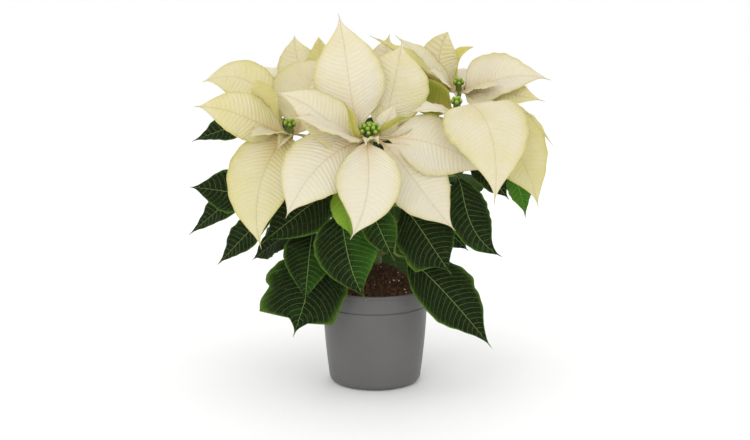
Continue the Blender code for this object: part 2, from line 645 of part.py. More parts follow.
def make_petiole(name, stem, shape):
    """The round stalk from the branch to the leaf, run a little way into the blade's midrib."""
    root = stem.point(shape["at"])
    if "away" in shape:
        azimuth, reach, elevation, length = shape["away"]
        shape["base"] = root + toward(azimuth, 12, reach)
        shape["tip"] = shape["base"] + toward(azimuth, elevation, length)
    controls, _ = blade_frame(shape)
    level = Vector((shape["base"].x - root.x, shape["base"].y - root.y, 0)).normalized()
    reach = (shape["base"] - root).length
    first = root + (level + Vector((0, 0, 0.5))) * 0.35 * reach
    into = bezier(*controls, 0.09)
    start = (bezier(*controls, 0.02) - shape["base"]).normalized()
    last = shape["base"] - start * 0.3 * reach
    shares = [step / PETIOLE_STEPS for step in range(PETIOLE_STEPS + 1)]
    points = [bezier(root, first, last, shape["base"], share) for share in shares]
    return make_tube(name, points + [into], PETIOLE_RADIUS, resolution=0)


def make_leafy_stem(stem):
    """A branch with its petioles and leaves, as one body."""
    pieces = [make_tube("branch", stem.line(6), BRANCH_RADIUS)]
    for index, shape in enumerate(LEAVES[stem.name]):
        pieces.append(make_petiole(f"petiole_{index}", stem, shape))
        pieces.append(make_blade(f"leaf_{index}", shape))
    return combine("leafy_stem_" + stem.name, pieces)


def make_bracts(stem):
    """A rosette: the bracts round the short receptacle under the buds, as one body."""
    low = stem.head.z - RECEPTACLE_DROP
    pieces = [make_cylinder("receptacle", RECEPTACLE_RADIUS, low, low + RECEPTACLE_HEIGHT, stem.head.xy, 8)]
    for index, shape in enumerate(BRACTS[stem.name]):
        outward = Vector((shape["tip"].x - stem.head.x, shape["tip"].y - stem.head.y, 0)).normalized()
        shape["base"] = stem.head + outward * 0.0010 - Vector((0, 0, BRACT_DROP + shape["drop"]))
        pieces.append(make_blade(f"bract_{index}", shape))
    return combine("bracts_" + stem.name, pieces)


def bud_places(stem, lean):
    """Where a cluster's buds sit: one in the middle and a ring or two round it, leaning to the front."""
    rings = SMALL_RINGS if stem.bud_radius < LARGE_CLUSTER else LARGE_RINGS
    middle = Vector((stem.head.x, stem.head.y, stem.bud_floor))
    places = []
    for count, share, height in rings:
        reach = share * stem.bud_radius
        for index in range(count):
            turn = 2 * math.pi * (index + share) / count
            places.append(middle + lean @ Vector((reach * math.cos(turn), reach * math.sin(turn), height)))
    return places


def make_buds(stem):
    """The cluster of green flower buds, on a short flared dome just above the receptacle."""
    lean = Matrix.Rotation(math.radians(HEAD_LEAN), 3, "X")
    bm = bmesh.new()
    bmesh.ops.create_cone(bm, cap_ends=True, segments=8, radius1=DOME_LOW_RADIUS,
                          radius2=stem.bud_radius * 0.85, depth=DOME_HEIGHT)
    for vert in bm.verts:
        if vert.co.z > 0:
            vert.co = lean @ Vector((vert.co.x, vert.co.y, 0)) + Vector((0, 0, DOME_HEIGHT / 2))
    bmesh.ops.translate(bm, verts=bm.verts[:], vec=(*stem.head.xy, stem.bud_floor + DOME_HEIGHT / 2))
    pieces = [object_of("dome", bm)]
    for place in bud_places(stem, lean):
        bm = bmesh.new()
        bmesh.ops.create_uvsphere(bm, u_segments=BUD_SIDES, v_segments=3, radius=BUD_RADIUS)
        bmesh.ops.scale(bm, verts=bm.verts[:], vec=(1, 1, BUD_STRETCH))
        bmesh.ops.translate(bm, verts=bm.verts[:], vec=place)
        pieces.append(object_of("bud", bm))
    return combine("cyathia_" + stem.name, pieces)


def clear_scene():
    for obj in list(bpy.data.objects):
        bpy.data.objects.remove(obj)


def main():
    clear_scene()
    parts = bpy.data.collections.new(OBJECT_NAME)
    bpy.context.scene.collection.children.link(parts)
    cream = make_material("cream_bract", CREAM, 0.55)
    green = make_material("green_leaf", LEAF_GREEN, 0.45)
    bud = make_material("green_bud", BUD_GREEN, 0.4)
    bark = make_material("green_bark", STEM_GREEN, 0.6)
    peat = make_material("peat", SOIL_BROWN, 0.95)
    plastic = make_material("grey_plastic", POT_GREY, 0.45)
    add_part(make_pot(), parts, plastic)
    add_part(make_soil(), parts, peat)
    add_part(make_trunk(), parts, bark)
    for stem in STEMS:
        add_part(make_leafy_stem(stem), parts, green)
        add_part(make_bracts(stem), parts, cream)
        add_part(make_buds(stem), parts, bud)


main()
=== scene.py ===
# %% [markdown]
# # A potted poinsettia with cream bracts
# The plant stands in a grey plastic nursery pot. What looks like petals are bracts: leaves that have
# lost their green. This lesson dresses a solid model of it, part by part. The solid model gives every
# place and size. The pieces made here repeat its forms with many more faces, and add what a solid
# leaves out: veins, ripples, peat crumbs, and finishes that let light through.

# %% Load the solid model
import functools
import math

import bpy
import numpy as np
from mathutils import Matrix, Vector, noise


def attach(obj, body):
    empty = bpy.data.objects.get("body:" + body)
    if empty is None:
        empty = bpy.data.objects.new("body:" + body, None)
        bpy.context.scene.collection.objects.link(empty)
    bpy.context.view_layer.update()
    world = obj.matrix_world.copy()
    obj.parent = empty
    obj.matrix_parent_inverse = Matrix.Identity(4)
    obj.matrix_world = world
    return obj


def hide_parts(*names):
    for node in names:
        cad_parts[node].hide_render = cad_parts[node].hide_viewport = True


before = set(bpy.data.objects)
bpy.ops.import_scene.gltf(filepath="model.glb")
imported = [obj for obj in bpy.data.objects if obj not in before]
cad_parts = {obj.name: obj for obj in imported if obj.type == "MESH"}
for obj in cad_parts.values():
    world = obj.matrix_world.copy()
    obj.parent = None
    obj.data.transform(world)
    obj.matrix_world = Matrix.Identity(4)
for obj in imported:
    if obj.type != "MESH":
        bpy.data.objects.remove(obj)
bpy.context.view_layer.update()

# %% [markdown]
# ## Camera
# The picture looks slightly down on the plant with a long lens, so near and far bracts differ little
# in size. A lens of 67 mm at 1.6 m does that. The camera aims at a height of 188 mm, which puts the
# pot's rim and the highest bract where the picture has them.

# %% Camera
PITCH = math.radians(10.5)
DISTANCE = 1.6
AIM_HEIGHT = 0.188
SENSOR_WIDTH = 36.0
LENS = 67.2
camera_data = bpy.data.cameras.new("camera")
camera_data.sensor_width = SENSOR_WIDTH
camera_data.lens = LENS
camera = bpy.data.objects.new("camera", camera_data)
camera.location = (0, -DISTANCE * math.cos(PITCH), AIM_HEIGHT + DISTANCE * math.sin(PITCH))
camera.rotation_euler = (math.pi / 2 - PITCH, 0, 0)
bpy.context.scene.collection.objects.link(camera)
bpy.context.scene.camera = camera
print("camera at", [round(value, 3) for value in camera.location])

# %% [markdown]
# ## Helpers for colours and nodes
# Hex colours are sRGB, and shaders work in linear light, so one function turns them. One more adds
# any node to any tree: inputs are given by name or number, as a value or as a socket to link.

# %% Colour and node helpers
def linear(hex_colour):
    """An sRGB hex colour as the linear RGBA that shaders take."""
    channels = [int(hex_colour[place:place + 2], 16) / 255 for place in (1, 3, 5)]
    return (*[c / 12.92 if c <= 0.04045 else ((c + 0.055) / 1.055) ** 2.4 for c in channels], 1.0)


def add_node(tree, kind, inputs=None, out=0, **settings):
    """Adds a node with its settings, fills or links its inputs, and gives back one output."""
    node = tree.nodes.new(kind)
    for key, value in settings.items():
        setattr(node, key, value)
    for key, value in (inputs or {}).items():
        if isinstance(value, bpy.types.NodeSocket):
            tree.links.new(value, node.inputs[key])
        else:
            node.inputs[key].default_value = value
    return node.outputs[out] if node.outputs else None


def new_material(name):
    """An empty node material, with add_node bound to its tree."""
    material = bpy.data.materials.new(name)
    material.use_nodes = True
    material.node_tree.nodes.clear()
    return material, functools.partial(add_node, material.node_tree)


def link_object(name, data):
    """A new object in the scene with this mesh or light."""
    obj = bpy.data.objects.new(name, data)
    bpy.context.scene.collection.objects.link(obj)
    return obj


def finish_piece(obj, node, materials=()):
    """Files a finished piece: it rides on the plant's one body and stands for its solid node."""
    bpy.context.scene.collection.objects.link(obj)
    for material in materials:
        obj.data.materials.append(material)
    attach(obj, "root")
    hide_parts(node)
    obj.data.calc_loop_triangles()
    print(f"{obj.name}: {len(obj.data.loop_triangles)} triangles for {node}")


# %% [markdown]
# ## The plant's plan
# A bract or leaf is described by a few numbers: where its tip is, how wide it is, which way it looks,
# and how it bows and folds. The same numbers drew the solid model, so the fine blades here lie where
# the plain ones do. Six leafy stems fork from one trunk, and each carries a rosette of bracts.

# %% Sizes of the plan
# All sizes outside the tables are in metres, and angles in degrees. Touching parts keep a small gap.
GAP = 0.0003

# Stems
TRUNK_FOOT = Vector((0.003, 0.0, 0.075))
TRUNK_TOP = Vector((0.003, 0.0, 0.168))
STUB_LENGTH = 0.011
STRAIGHT_END = 0.003
BRANCH_HANDLE = 0.35
PETIOLE_CLIMB = 12

# Blades and the receptacle that a rosette's bracts grow from. A blade's bow is steered from a place
# that is this share of the way to its tip.
BOW_PLACE = 0.55
RECEPTACLE_HEIGHT = 0.0095
RECEPTACLE_DROP = 0.0145
BRACT_DROP = 0.0085
BRACT_START = 0.0010

# %% How a blade is described
# In these tables lengths are in millimetres and angles in degrees. face is the side that the upper
# surface looks to. out is how far the blade runs level from its base before it bends, and sink how far
# it dips there. rise and swing are how far it bows up and sideways, drop how low it starts, and fold
# how far both halves lift. wave ripples the margins and ruffle nicks them, relief puffs the tissue
# up, and spacing parts the side veins. broad is where the blade is widest, taper how fast it narrows,
# drip draws the tip out and foot narrows the base. lobes are (place, size, side) points of the margin.
# tone is how deep its colour is: partly the blade's own colour, and partly painted shade or painted light for
# blades that lie in shade or catch the light. One number more paints light and shade across a blade: one half
# lighter, the other darker, as if one half faced the light. far marks a blade that is small or hidden and
# needs fewer faces.
UP = (0.0, 0.0, 1.0)
FRONT = (0.0, -1.0, 0.4)
BRACT = dict(face=UP, out=16, rise=10, swing=0, sink=0, drop=4, wave=1.5, relief=0.3, spacing=5.0, broad=0.42,
             taper=0.95, drip=1.15, foot=0, fold=6, ruffle=0.012, slant=0, lobes=(), far=False)
LEAF = dict(BRACT, rise=6, wave=2, relief=0.7, spacing=6.2, fold=7, ruffle=0.016, slant=0.08)
LENGTHS = ("width", "out", "rise", "swing", "sink", "drop", "wave", "relief", "spacing")


def metres(values):
    """A place given in millimetres."""
    return Vector([value / 1000 for value in values])


def toward(azimuth, elevation, length):
    """A step, by its direction and its length in millimetres."""
    turn, climb, length = math.radians(azimuth), math.radians(elevation), length / 1000
    level = math.cos(climb) * length
    return Vector((level * math.cos(turn), level * math.sin(turn), math.sin(climb) * length))


def blade(tip, width, kind=BRACT, **given):
    """One bract or leaf: where its tip is, how wide it is, and what differs from its kind."""
    shape = dict(kind, tip=tip and metres(tip), width=width, **given)
    shape.update({key: shape[key] / 1000 for key in LENGTHS})
    return dict(shape, face=Vector(shape["face"]))


def behind(azimuth, elevation, length, width, rise=16, **given):
    """A bract out of the front view, by its direction from the rosette's middle."""
    return blade(None, width, rise=rise, away=(azimuth, elevation, length), far=True, **given)


def leaf(at, base, tip, width, **given):
    """A green leaf: at is the share of the way up its stem where its petiole grows."""
    return blade(tip, width, LEAF, at=at, base=base and metres(base), **given)


def leaf_away(at, azimuth, reach, elevation, length, width, **given):
    """A green leaf out of the front view, by its direction from the stem: reach is its petiole's."""
    return leaf(at, None, None, width, away=(azimuth, reach, elevation, length), far=True, **given)


# %% Bracts of each stem
# Their order is the order in which their tones are drawn by chance.
BRACTS = {
    "front": [
        blade((-40, -30, 423), 80, face=(0.1, -1, 0.2), out=30, sink=6, rise=-14, broad=0.47, fold=5,
              taper=1.0, foot=1.4, tone=0.0),
        blade((30, -4, 390), 80, face=(0.12, -1, 0.2), out=28, sink=6, rise=-14, swing=10, broad=0.58,
              taper=0.8, fold=14, foot=0.8, tone=0.15, relief=1.1),
        blade((-108, -85, 342), 56, face=(0.1, -1, 0.6), out=32, sink=6, rise=6, swing=14, broad=0.34,
              taper=0.8, drop=3.5, tone=0.05),
        blade((-88, -108, 318), 54, face=(0, -0.35, 1), rise=6, fold=3, far=True),
        blade((-94, -125, 213), 76, face=(-0.1, -1, 0.6), out=30, rise=16, swing=21, broad=0.44, taper=0.8,
              fold=4, foot=0.8, tone=-0.05),
        blade((-26, -145, 194), 70, face=(0, -1, 0.5), out=30, rise=18, swing=-24, broad=0.45, taper=1.0,
              fold=5, foot=0.5, tone=-0.1),
        blade((87, -92, 193), 70, face=(0.2, -1, 0.4), out=22, sink=-4, rise=-2, broad=0.46, fold=8,
              foot=1.2, tone=-0.15),
        blade((125, -60, 249), 74, face=(0.1, -0.9, 0.6), out=24, rise=20, swing=-22, broad=0.44, fold=-7,
              drop=2, foot=2.0, tone=-0.3),
        blade((-10, -103, 287), 11, out=12, sink=2, drop=2, far=True),
        blade((4, -98, 288), 9, out=12, sink=2, drop=2, far=True),
        blade((40, -62, 313), 12, face=(0, -0.6, 0.8), fold=35, drop=0, far=True, tone=1.25),
        blade((-34, -78, 331), 12, face=(0, -0.9, 0.5), out=24, sink=4, fold=30, far=True, tone=1.15),
        blade((24, -52, 329), 26, face=FRONT, out=20, rise=-6, far=True),
        behind(44, -4, 78, 52, rise=6),
    ],
    "left": [
        blade((-195, 10, 345), 50, face=(0, -1, 0.5), out=20, sink=4, rise=10, swing=66, broad=0.6,
              taper=0.8, fold=-8, tone=0.35),
        blade((-196, -58, 324), 52, face=(0, -1, 0.4), out=24, rise=14, swing=12, broad=0.44, taper=0.8,
              drop=3, tone=0.35),
        blade((-121, -115, 178), 80, face=(-0.2, -1, 0.4), out=26, rise=16, swing=32, broad=0.34, taper=0.8,
              fold=5, tone=0.35),
        blade((-48, 0, 371), 78, face=(0.1, -1, 0.3), out=22, sink=4, rise=-12, swing=-26, broad=0.48,
              far=True, tone=0.1),
        blade((-136, -78, 292), 44, face=(0, -0.15, 1), fold=10, drop=4.8, far=True),
        blade((-106, -78, 279), 16, face=FRONT, fold=25, far=True),
        behind(44, -30, 80, 54, rise=2),
        blade((-130, -40, 351), 32, face=(0.4, 1, 0.5), out=14, rise=8, broad=0.7, taper=0.6, drip=0,
              foot=0.8, fold=-14, far=True, tone=0.8),
    ],
    "right": [
        blade((126, -112, 223), 94, face=(0.1, -1, 0.6), out=46, sink=-30, rise=52, swing=-28, broad=0.38,
              taper=1.15, fold=-5, tone=0.15, relief=0.4),
        blade((182, -40, 208), 80, face=(0.4, -1, 0.4), out=30, rise=22, swing=-30, tone=0.5),
        blade((38, -62, 319), 32, face=(0, -0.5, 1), rise=10, swing=-10, fold=10, far=True),
        blade((32, 26, 344), 48, face=(0, -0.8, 0.7), swing=-6, far=True, tone=1.6),
        behind(14, -14, 98, 54, rise=20, drop=3),
        behind(68, -24, 90, 50),
    ],
    "back_left": [
        blade((-97, 125, 391), 56, face=(0.1, -1, 0.2), rise=-10, swing=-12, far=True, drip=0.5),
        blade((-67, 105, 390), 36, face=(0.3, 1, 0.3), rise=10, far=True, drip=0, tone=0.8),
        behind(188, -14, 95, 54, rise=14, drop=5.5),
        behind(150, 5, 105, 60, rise=18),
        behind(118, -8, 112, 64, out=24, rise=20),
        behind(90, 12, 98, 58),
        behind(62, -20, 88, 54),
        behind(320, -12, 88, 58, rise=12),
        behind(262, -20, 70, 44, rise=12),
    ],
    "back_right": [
        blade((-6, 50, 395), 42, face=(0, -0.3, 1), rise=4, fold=20, far=True, tone=0.7),
        blade((87, 105, 396), 46, face=(-0.1, -1, 0.1), out=20, sink=4, rise=-14, swing=-32, broad=0.55,
              taper=0.8, drip=0.2, fold=10, tone=0.15, relief=0.9),
        blade((119, 130, 377), 12, face=(0, -1, 0.3), rise=10, swing=-40, broad=0.6, drip=0, far=True,
              tone=0.9),
        blade((206, 70, 342), 80, face=(0, -0.7, 0.8), rise=34, fold=12, broad=0.25, taper=0.9),
        blade((196, 40, 320), 50, face=(0, -0.6, 0.9), far=True, tone=0.4),
        blade((207, 30, 268), 30, face=(0.2, -0.2, 1), out=30, rise=30, far=True, tone=0.5),
        blade((58, 34, 356), 36, face=(0, -0.7, 0.8), out=20, far=True),
        blade((145, 34, 338), 24, face=(0, -0.6, 1), rise=8, far=True),
        blade((24, 88, 393), 40, face=(0, -0.6, 0.9), rise=4, far=True),
        behind(32, -6, 104, 56),
        behind(62, 0, 108, 62, rise=20),
        behind(102, 4, 100, 60, rise=18),
        behind(208, -6, 88, 54, rise=10, drop=3.6),
    ],
    "back": [
        blade((18, 140, 392), 50, face=(0, -1, 0.2), rise=-12, swing=-10, far=True),
        behind(90, 4, 110, 64, rise=22),
        behind(55, -12, 108, 62, out=24, rise=22),
        behind(122, -14, 108, 62, out=24, rise=22),
        behind(262, 28, 60, 38, rise=-4),
        behind(280, -22, 84, 54, rise=12),
    ],
}

# %% Leaves of each stem
LEAVES = {
    "front": [
        leaf(0.5, (-34, -50, 236), (-124, -76, 176), 68, face=(-0.1, -1, 0.8), far=True, tone=-0.2),
        leaf(0.42, (-42, -70, 212), (-9, -110, 120), 70, face=(0, -1, 0.4), swing=14, broad=0.37,
             taper=1.05, tone=0.0, slant=-0.6),
        leaf(0.62, (-15, -88, 221), (21, -110, 164), 38, face=(0.1, -1, 0.4), far=True, tone=0.08,
             slant=-0.16),
        leaf(0.56, (-43, -76, 236), (-25, -99, 187), 34, face=(0.3, -1, 0.3), far=True, tone=1.5,
             relief=1.6),
        leaf(0.34, (24, -52, 214), (84, -74, 141), 68, face=(0.1, -1, 0.4), lobes=((0.67, 0.25, 1),),
             tone=-0.3),
        leaf_away(0.88, 86, 16, 13, 76, 66),
    ],
    "left": [
        leaf(0.72, (-120, -6, 214), (-211, -4, 227), 58, face=(0, -1, 0.9), far=True),
        leaf(0.6, (-126, 32, 231), (-220, 48, 161), 41, face=(-0.3, -0.8, 0.7), far=True),
        leaf(0.48, (-106, -6, 203), (-183, 10, 133), 40, face=(-0.4, -0.9, 0.6), far=True),
        leaf(0.3, (-85, 24, 170), (-146, 46, 131), 46, face=(-0.3, -0.6, 0.8), far=True,
             lobes=((0.5, 0.3, 1),)),
        leaf(0.24, (-69, -44, 182), (-76, -104, 115), 58, face=(0, -0.7, 0.8), broad=0.3, far=True,
             tone=0.02, slant=-0.26),
        leaf(0.08, (-56, -44, 158), (-90, -84, 73), 88, face=(0, -1, 0.5), broad=0.36, taper=1.1,
             lobes=((0.33, 0.06, 1), (0.44, 0.13, 1), (0.67, 0.55, 1), (0.67, 0.28, -1)), tone=-0.1,
             slant=0.16),
    ],
    "right": [
        leaf(0.56, (88, -38, 245), (141, -62, 158), 50, face=(0.3, -1, 0.4), swing=37, broad=0.4,
             tone=-0.1),
        leaf(0.08, (28, -47, 156), (130, -74, 57), 63, face=(0.2, -1, 0.5), swing=-6, broad=0.38,
             lobes=((0.56, 0.04, 1), (0.44, 0.12, -1), (0.67, 0.08, -1))),
        leaf(0.34, (56, 14, 190), (108, 4, 151), 40, face=(0.2, -1, 0.6), far=True),
        leaf(0.76, (102, -16, 262), (150, -34, 217), 42, face=(0.3, -1, 0.8), far=True),
        leaf(0.84, (134, 0, 258), (172, 0, 190), 34, face=(0.3, -1, 0.4), swing=-14, far=True, tone=1.0),
        leaf_away(0.74, 46, 40, -32, 90, 56),
        leaf_away(0.52, 66, 46, -30, 86, 52),
        leaf_away(0.66, 150, 24, -6, 80, 58),
    ],
    "back_left": [
        leaf(0.75, (-126, 60, 297), (-214, 52, 272), 40, face=(0, -0.7, 0.8), far=True),
        leaf_away(0.78, 125, 45, -30, 98, 62),
        leaf_away(0.55, 158, 50, -38, 96, 62),
        leaf_away(0.55, 95, 50, -42, 98, 62),
        leaf_away(0.3, 130, 55, -48, 94, 62),
        leaf_away(0.6, 262, 22, -10, 72, 54),
    ],
    "back_right": [
        leaf_away(0.78, 55, 45, -30, 96, 60),
        leaf_away(0.56, 85, 50, -42, 96, 60),
        leaf_away(0.56, 22, 50, -38, 94, 58),
        leaf_away(0.3, 48, 55, -48, 94, 62),
    ],
    "back": [
        leaf_away(0.78, 90, 45, -32, 94, 60),
        leaf_away(0.52, 70, 50, -44, 94, 60),
        leaf_away(0.4, 108, 55, -48, 94, 62),
        leaf_away(0.3, 75, 22, -55, 94, 66),
        leaf(0.1, (14, 36, 172), (30, 98, 84), 64, face=(0, 0.6, 0.8), far=True, broad=0.52, taper=0.7),
    ],
}


# %% Stems
def bezier(start, first, last, end, share):
    """A point of a cubic curve."""
    rest = 1 - share
    return start * rest**3 + first * (3 * rest**2 * share) + last * (3 * rest * share**2) + end * share**3


class Stem:
    """A branch from the trunk's stub to the underside of its rosette, as one smooth curve."""

    def __init__(self, name, head, fork_height, leave, bud_radius):
        self.name = name
        self.head = metres(head)
        self.bud_radius = bud_radius / 1000
        self.leave = Vector(leave).normalized()
        share = (fork_height / 1000 - TRUNK_FOOT.z) / (TRUNK_TOP.z - TRUNK_FOOT.z)
        self.fork = TRUNK_FOOT.lerp(TRUNK_TOP, share)
        self.start = self.fork + self.leave * (STUB_LENGTH + GAP)
        self.end = self.head - Vector((0, 0, RECEPTACLE_DROP + GAP))
        self.bud_floor = self.head.copy()
        self.bud_floor.z += RECEPTACLE_HEIGHT + GAP - RECEPTACLE_DROP

    def point(self, share):
        """A point of the branch's middle line between its two short straight ends."""
        low = self.start + self.leave * STRAIGHT_END
        high = self.end - Vector((0, 0, STRAIGHT_END))
        handle = BRANCH_HANDLE * (high - low).length
        return bezier(low, low + self.leave * handle, high - Vector((0, 0, handle)), high, share)


# Name, middle of the buds, height of the fork, direction there, and radius of the bud cluster.
STEMS = [
    Stem("front", (-6, -70, 302), 158, (-0.05, -0.65, 0.75), 10.5),
    Stem("left", (-94, -30, 303), 150, (-0.75, -0.12, 0.65), 6),
    Stem("right", (91, -10, 326), 146, (0.75, -0.10, 0.65), 6),
    Stem("back_left", (-70, 92, 340), 160, (-0.50, 0.50, 0.70), 7),
    Stem("back_right", (99, 85, 339), 153, (0.58, 0.45, 0.68), 6),
    Stem("back", (14, 125, 334), 168, (0.08, 0.55, 0.83), 7),
]


def blade_frame(shape):
    """The midrib's four control points and the blade's side direction."""
    base, tip = shape["base"], shape["tip"]
    chord = tip - base
    side = chord.cross(shape["face"]).normalized()
    normal = side.cross(chord).normalized()
    level = Vector((chord.x, chord.y, 0)).normalized()
    first = base + level * shape["out"] - Vector((0, 0, shape["sink"]))
    last = base.lerp(tip, BOW_PLACE) + normal * shape["rise"] + side * shape["swing"]
    return (base, first, last, tip), side


# %% Where blades start
# A blade that the front view hides gets its tip, and a leaf its base too, from its direction.
for stem in STEMS:
    for shape in BRACTS[stem.name]:
        if "away" in shape:
            shape["tip"] = stem.head + toward(*shape["away"])
        outward = Vector((shape["tip"].x - stem.head.x, shape["tip"].y - stem.head.y, 0)).normalized()
        shape["base"] = stem.head + outward * BRACT_START - Vector((0, 0, BRACT_DROP + shape["drop"]))
    for shape in LEAVES[stem.name]:
        if "away" in shape:
            azimuth, reach, elevation, length = shape["away"]
            shape["base"] = stem.point(shape["at"]) + toward(azimuth, PETIOLE_CLIMB, reach)
            shape["tip"] = shape["base"] + toward(azimuth, elevation, length)
print("blades:", sum(len(rows) for plan in (BRACTS, LEAVES) for rows in plan.values()))

# %% [markdown]
# ## Blade material
# A bract is a thin moist leaf: matt, cream, with a faint net of veins, and it glows where light comes
# through from behind. A green leaf is the same thing with a waxy skin and dark tissue. One function
# makes both. The pattern follows numbers that each blade's mesh carries: which side vein a point is
# nearest, how many millimetres it is from the midrib, how near the margin and how near the stalk.
# Real side veins are about 0.3 mm wide, too fine to show from here, so they are drawn near 1 mm wide.

# %% Blade material helpers
# The kinds of node that come up again and again, and settings that go with them.
BUMP = "ShaderNodeBump"
COMBINE = "ShaderNodeCombineXYZ"
COORDS = "ShaderNodeTexCoord"
MAP = "ShaderNodeMapRange"
MAPPING = "ShaderNodeMapping"
MATH = "ShaderNodeMath"
MIX = "ShaderNodeMix"
NOISE = "ShaderNodeTexNoise"
PRINCIPLED = "ShaderNodeBsdfPrincipled"
SURFACE = "ShaderNodeOutputMaterial"
VALUE = "ShaderNodeAttribute"
VECTOR_MATH = "ShaderNodeVectorMath"
RANDOM = "FunctionNodeRandomValue"
SMOOTH = dict(interpolation_type="SMOOTHSTEP")
TIMES = dict(operation="MULTIPLY")
TIMES_PLUS = dict(operation="MULTIPLY_ADD")
# What each point of a blade's mesh carries.
BLADE_VALUES = ("vein", "rib", "edge", "along", "tone", "under")


def lay_colours(add, colour, layers):
    """Lays hex colours over a first one, each by a share from a socket, times a strength."""
    for share, strength, over in layers:
        amount = add(MATH, {0: share, 1: strength}, **TIMES)
        colour = add(MIX, {0: amount, 6: colour, 7: linear(over)}, data_type="RGBA", out=2)
    return colour


def vein_shares(add, read, look):
    """How much of a point lies on a side vein, on the midrib, and in the net, each from 0 to 1."""
    nearest = add(MATH, {0: read["vein"], 1: 0.5}, operation="PINGPONG")
    line = add(MAP, {0: nearest, 2: look["vein_width"], 3: 1.0, 4: 0.0}, **SMOOTH)
    fade = add(MAP, {0: read["edge"], 1: 0.2, 2: 0.98, 3: 1.0, 4: look["vein_fade"]})
    side = add(MATH, {0: line, 1: fade}, **TIMES)
    width = add(MAP, {0: read["along"], 3: look["rib_mm"], 4: 0.3})
    rib = add(MAP, {0: read["rib"], 1: 0.1, 2: width, 3: 1.0, 4: 0.0}, **SMOOTH)
    # The net's cells are about 2 mm on the blade's own flat map, which is in metres.
    flat = add("ShaderNodeUVMap", uv_map="blade")
    cells = add("ShaderNodeTexVoronoi", {"Vector": flat, "Scale": 480.0}, feature="DISTANCE_TO_EDGE")
    net = add(MAP, {0: cells, 2: 0.16, 3: 1.0, 4: 0.0})
    return nearest, side, rib, net


def tissue_shares(add, read, look):
    """The deeper patches, the odd colour of some blades, the margin, and the flush at the base."""
    place = add(COORDS, out="Object")
    # Patches are about 30 mm across, and a blade's tone shifts all of them; the tone carries painted shade
    # and painted light as well as the blade's own colour.
    cloud = add(NOISE, {"Vector": place, "Scale": 34.0, "Detail": 3.0})
    patch = add(MATH, {0: cloud, 1: 0.7, 2: read["tone"]}, **TIMES_PLUS)
    deep = add(MAP, {0: patch, 1: 0.3, 2: 1.25})
    odd = add(MAP, {0: read["tone"], 1: 1.0, 2: 1.6})
    margin = add(MAP, {0: read["edge"], 1: 0.5, 2: 1.0})
    # Squeezed towards the very edge, so that the margin's colour fades inwards.
    rim = add(MATH, {0: margin, 1: look["rim_fade"]}, operation="POWER")
    low = add(MAP, {0: read["along"], 2: 0.45, 3: 1.0, 4: 0.0})
    near = add(MAP, {0: read["rib"], 2: look["flush_mm"], 3: 1.0, 4: 0.0})
    flush = add(MATH, {0: low, 1: near}, **TIMES)
    return deep, odd, rim, flush


# %% Blade material
def blade_material(name, look):
    """A leaf-like skin with a midrib, side veins, a fine net between them, and light from behind."""
    material, add = new_material(name)
    read = {key: add(VALUE, attribute_name=key, out="Fac") for key in BLADE_VALUES}
    nearest, side, rib, net = vein_shares(add, read, look)
    deep, odd, rim, flush = tissue_shares(add, read, look)
    colour = lay_colours(add, linear(look["face"]), [
        (deep, 1.0, look["deep"]), (odd, 1.0, look["odd"]), (rim, look["rim_share"], look["rim"]),
        (flush, look["flush_share"], look["flush"]), (net, look["net_share"], look["vein"]),
        (side, look["vein_share"], look["vein"]), (rib, look["rib_share"], look["rib"]),
        (read["under"], look["under_share"], look["under"])])
    # Tissue puffs up between the veins, the net dimples it, and the midrib lies in a groove.
    puffed = add(MAP, {0: nearest, 2: 0.5}, **SMOOTH)
    dimpled = add(MATH, {0: net, 1: -look["dimple"], 2: puffed}, **TIMES_PLUS)
    height = add(MATH, {0: rib, 1: -0.6, 2: dimpled}, **TIMES_PLUS)
    bump = add(BUMP, {"Strength": look["puff"], "Distance": 0.0006, "Height": height})
    skin = add(PRINCIPLED, {"Base Color": colour, "Roughness": look["roughness"], "IOR": 1.42,
                            "Specular IOR Level": look["shine"], "Normal": bump})
    through = add(MIX, {0: 0.5, 6: colour, 7: linear(look["through"])}, data_type="RGBA", out=2)
    glow = add("ShaderNodeBsdfTranslucent", {"Color": through, "Normal": bump})
    both = add("ShaderNodeMixShader", {0: look["through_share"], 1: skin, 2: glow})
    add(SURFACE, {"Surface": both})
    return material


# %% Bract and leaf tissue
# Cream bract tissue: matt, warm white, tan on its midrib, yellow-green where it is young, and yellower on
# blades in shade, which is painted shade.
BRACT_LOOK = dict(
    face="#F1EBDA", deep="#DDD67C", odd="#7E861E", under="#E6DFAE", rim="#D6CE66", flush="#DEB566",
    vein="#DCD28E", rib="#CFB07C", through="#F3E78F", vein_width=0.13, vein_fade=0.2, vein_share=0.13,
    rib_mm=0.75, rib_share=0.5, net_share=0.05, rim_share=0.6, rim_fade=3.0, flush_mm=16.0,
    flush_share=0.6, under_share=0.5, dimple=0.3, puff=0.6, roughness=0.6, shine=0.25, through_share=0.3)
# Green leaf tissue: dark, partly its own deep green and partly painted shade for the shade under the bracts,
# with a thin wax that shines softly, pale veins and a paler, matter underside.
LEAF_LOOK = dict(
    face="#0B1706", deep="#3C7418", odd="#8FB23A", under="#48662C", rim="#6E9A34", flush="#24401A",
    vein="#8DAE62", rib="#A6BE72", through="#7FB03A", vein_width=0.042, vein_fade=0.5, vein_share=0.72,
    rib_mm=0.55, rib_share=0.85, net_share=0.09, rim_share=0.7, rim_fade=9.0, flush_mm=8.0,
    flush_share=0.2, under_share=0.6, dimple=0.6, puff=0.9, roughness=0.45, shine=0.08, through_share=0.08)
bract_skin = blade_material("cream_bract_tissue", BRACT_LOOK)
leaf_skin = blade_material("green_leaf_tissue", LEAF_LOOK)

# %% [markdown]
# ## Fine blades
# A blade is a sheet that follows its midrib. Rows of points run from the midrib outwards and sweep
# towards the tip just as side veins do, so that the tissue can puff up between two rows where the
# veins hold it down. The sheet gets a thickness of 0.4 mm, a thicker stalk, and a ridge under the
# midrib. Arrays do all of this for a whole blade at once.

# %% Outline of a blade
STALK_WIDTH = 0.0032
STALK_SHARE = 0.07
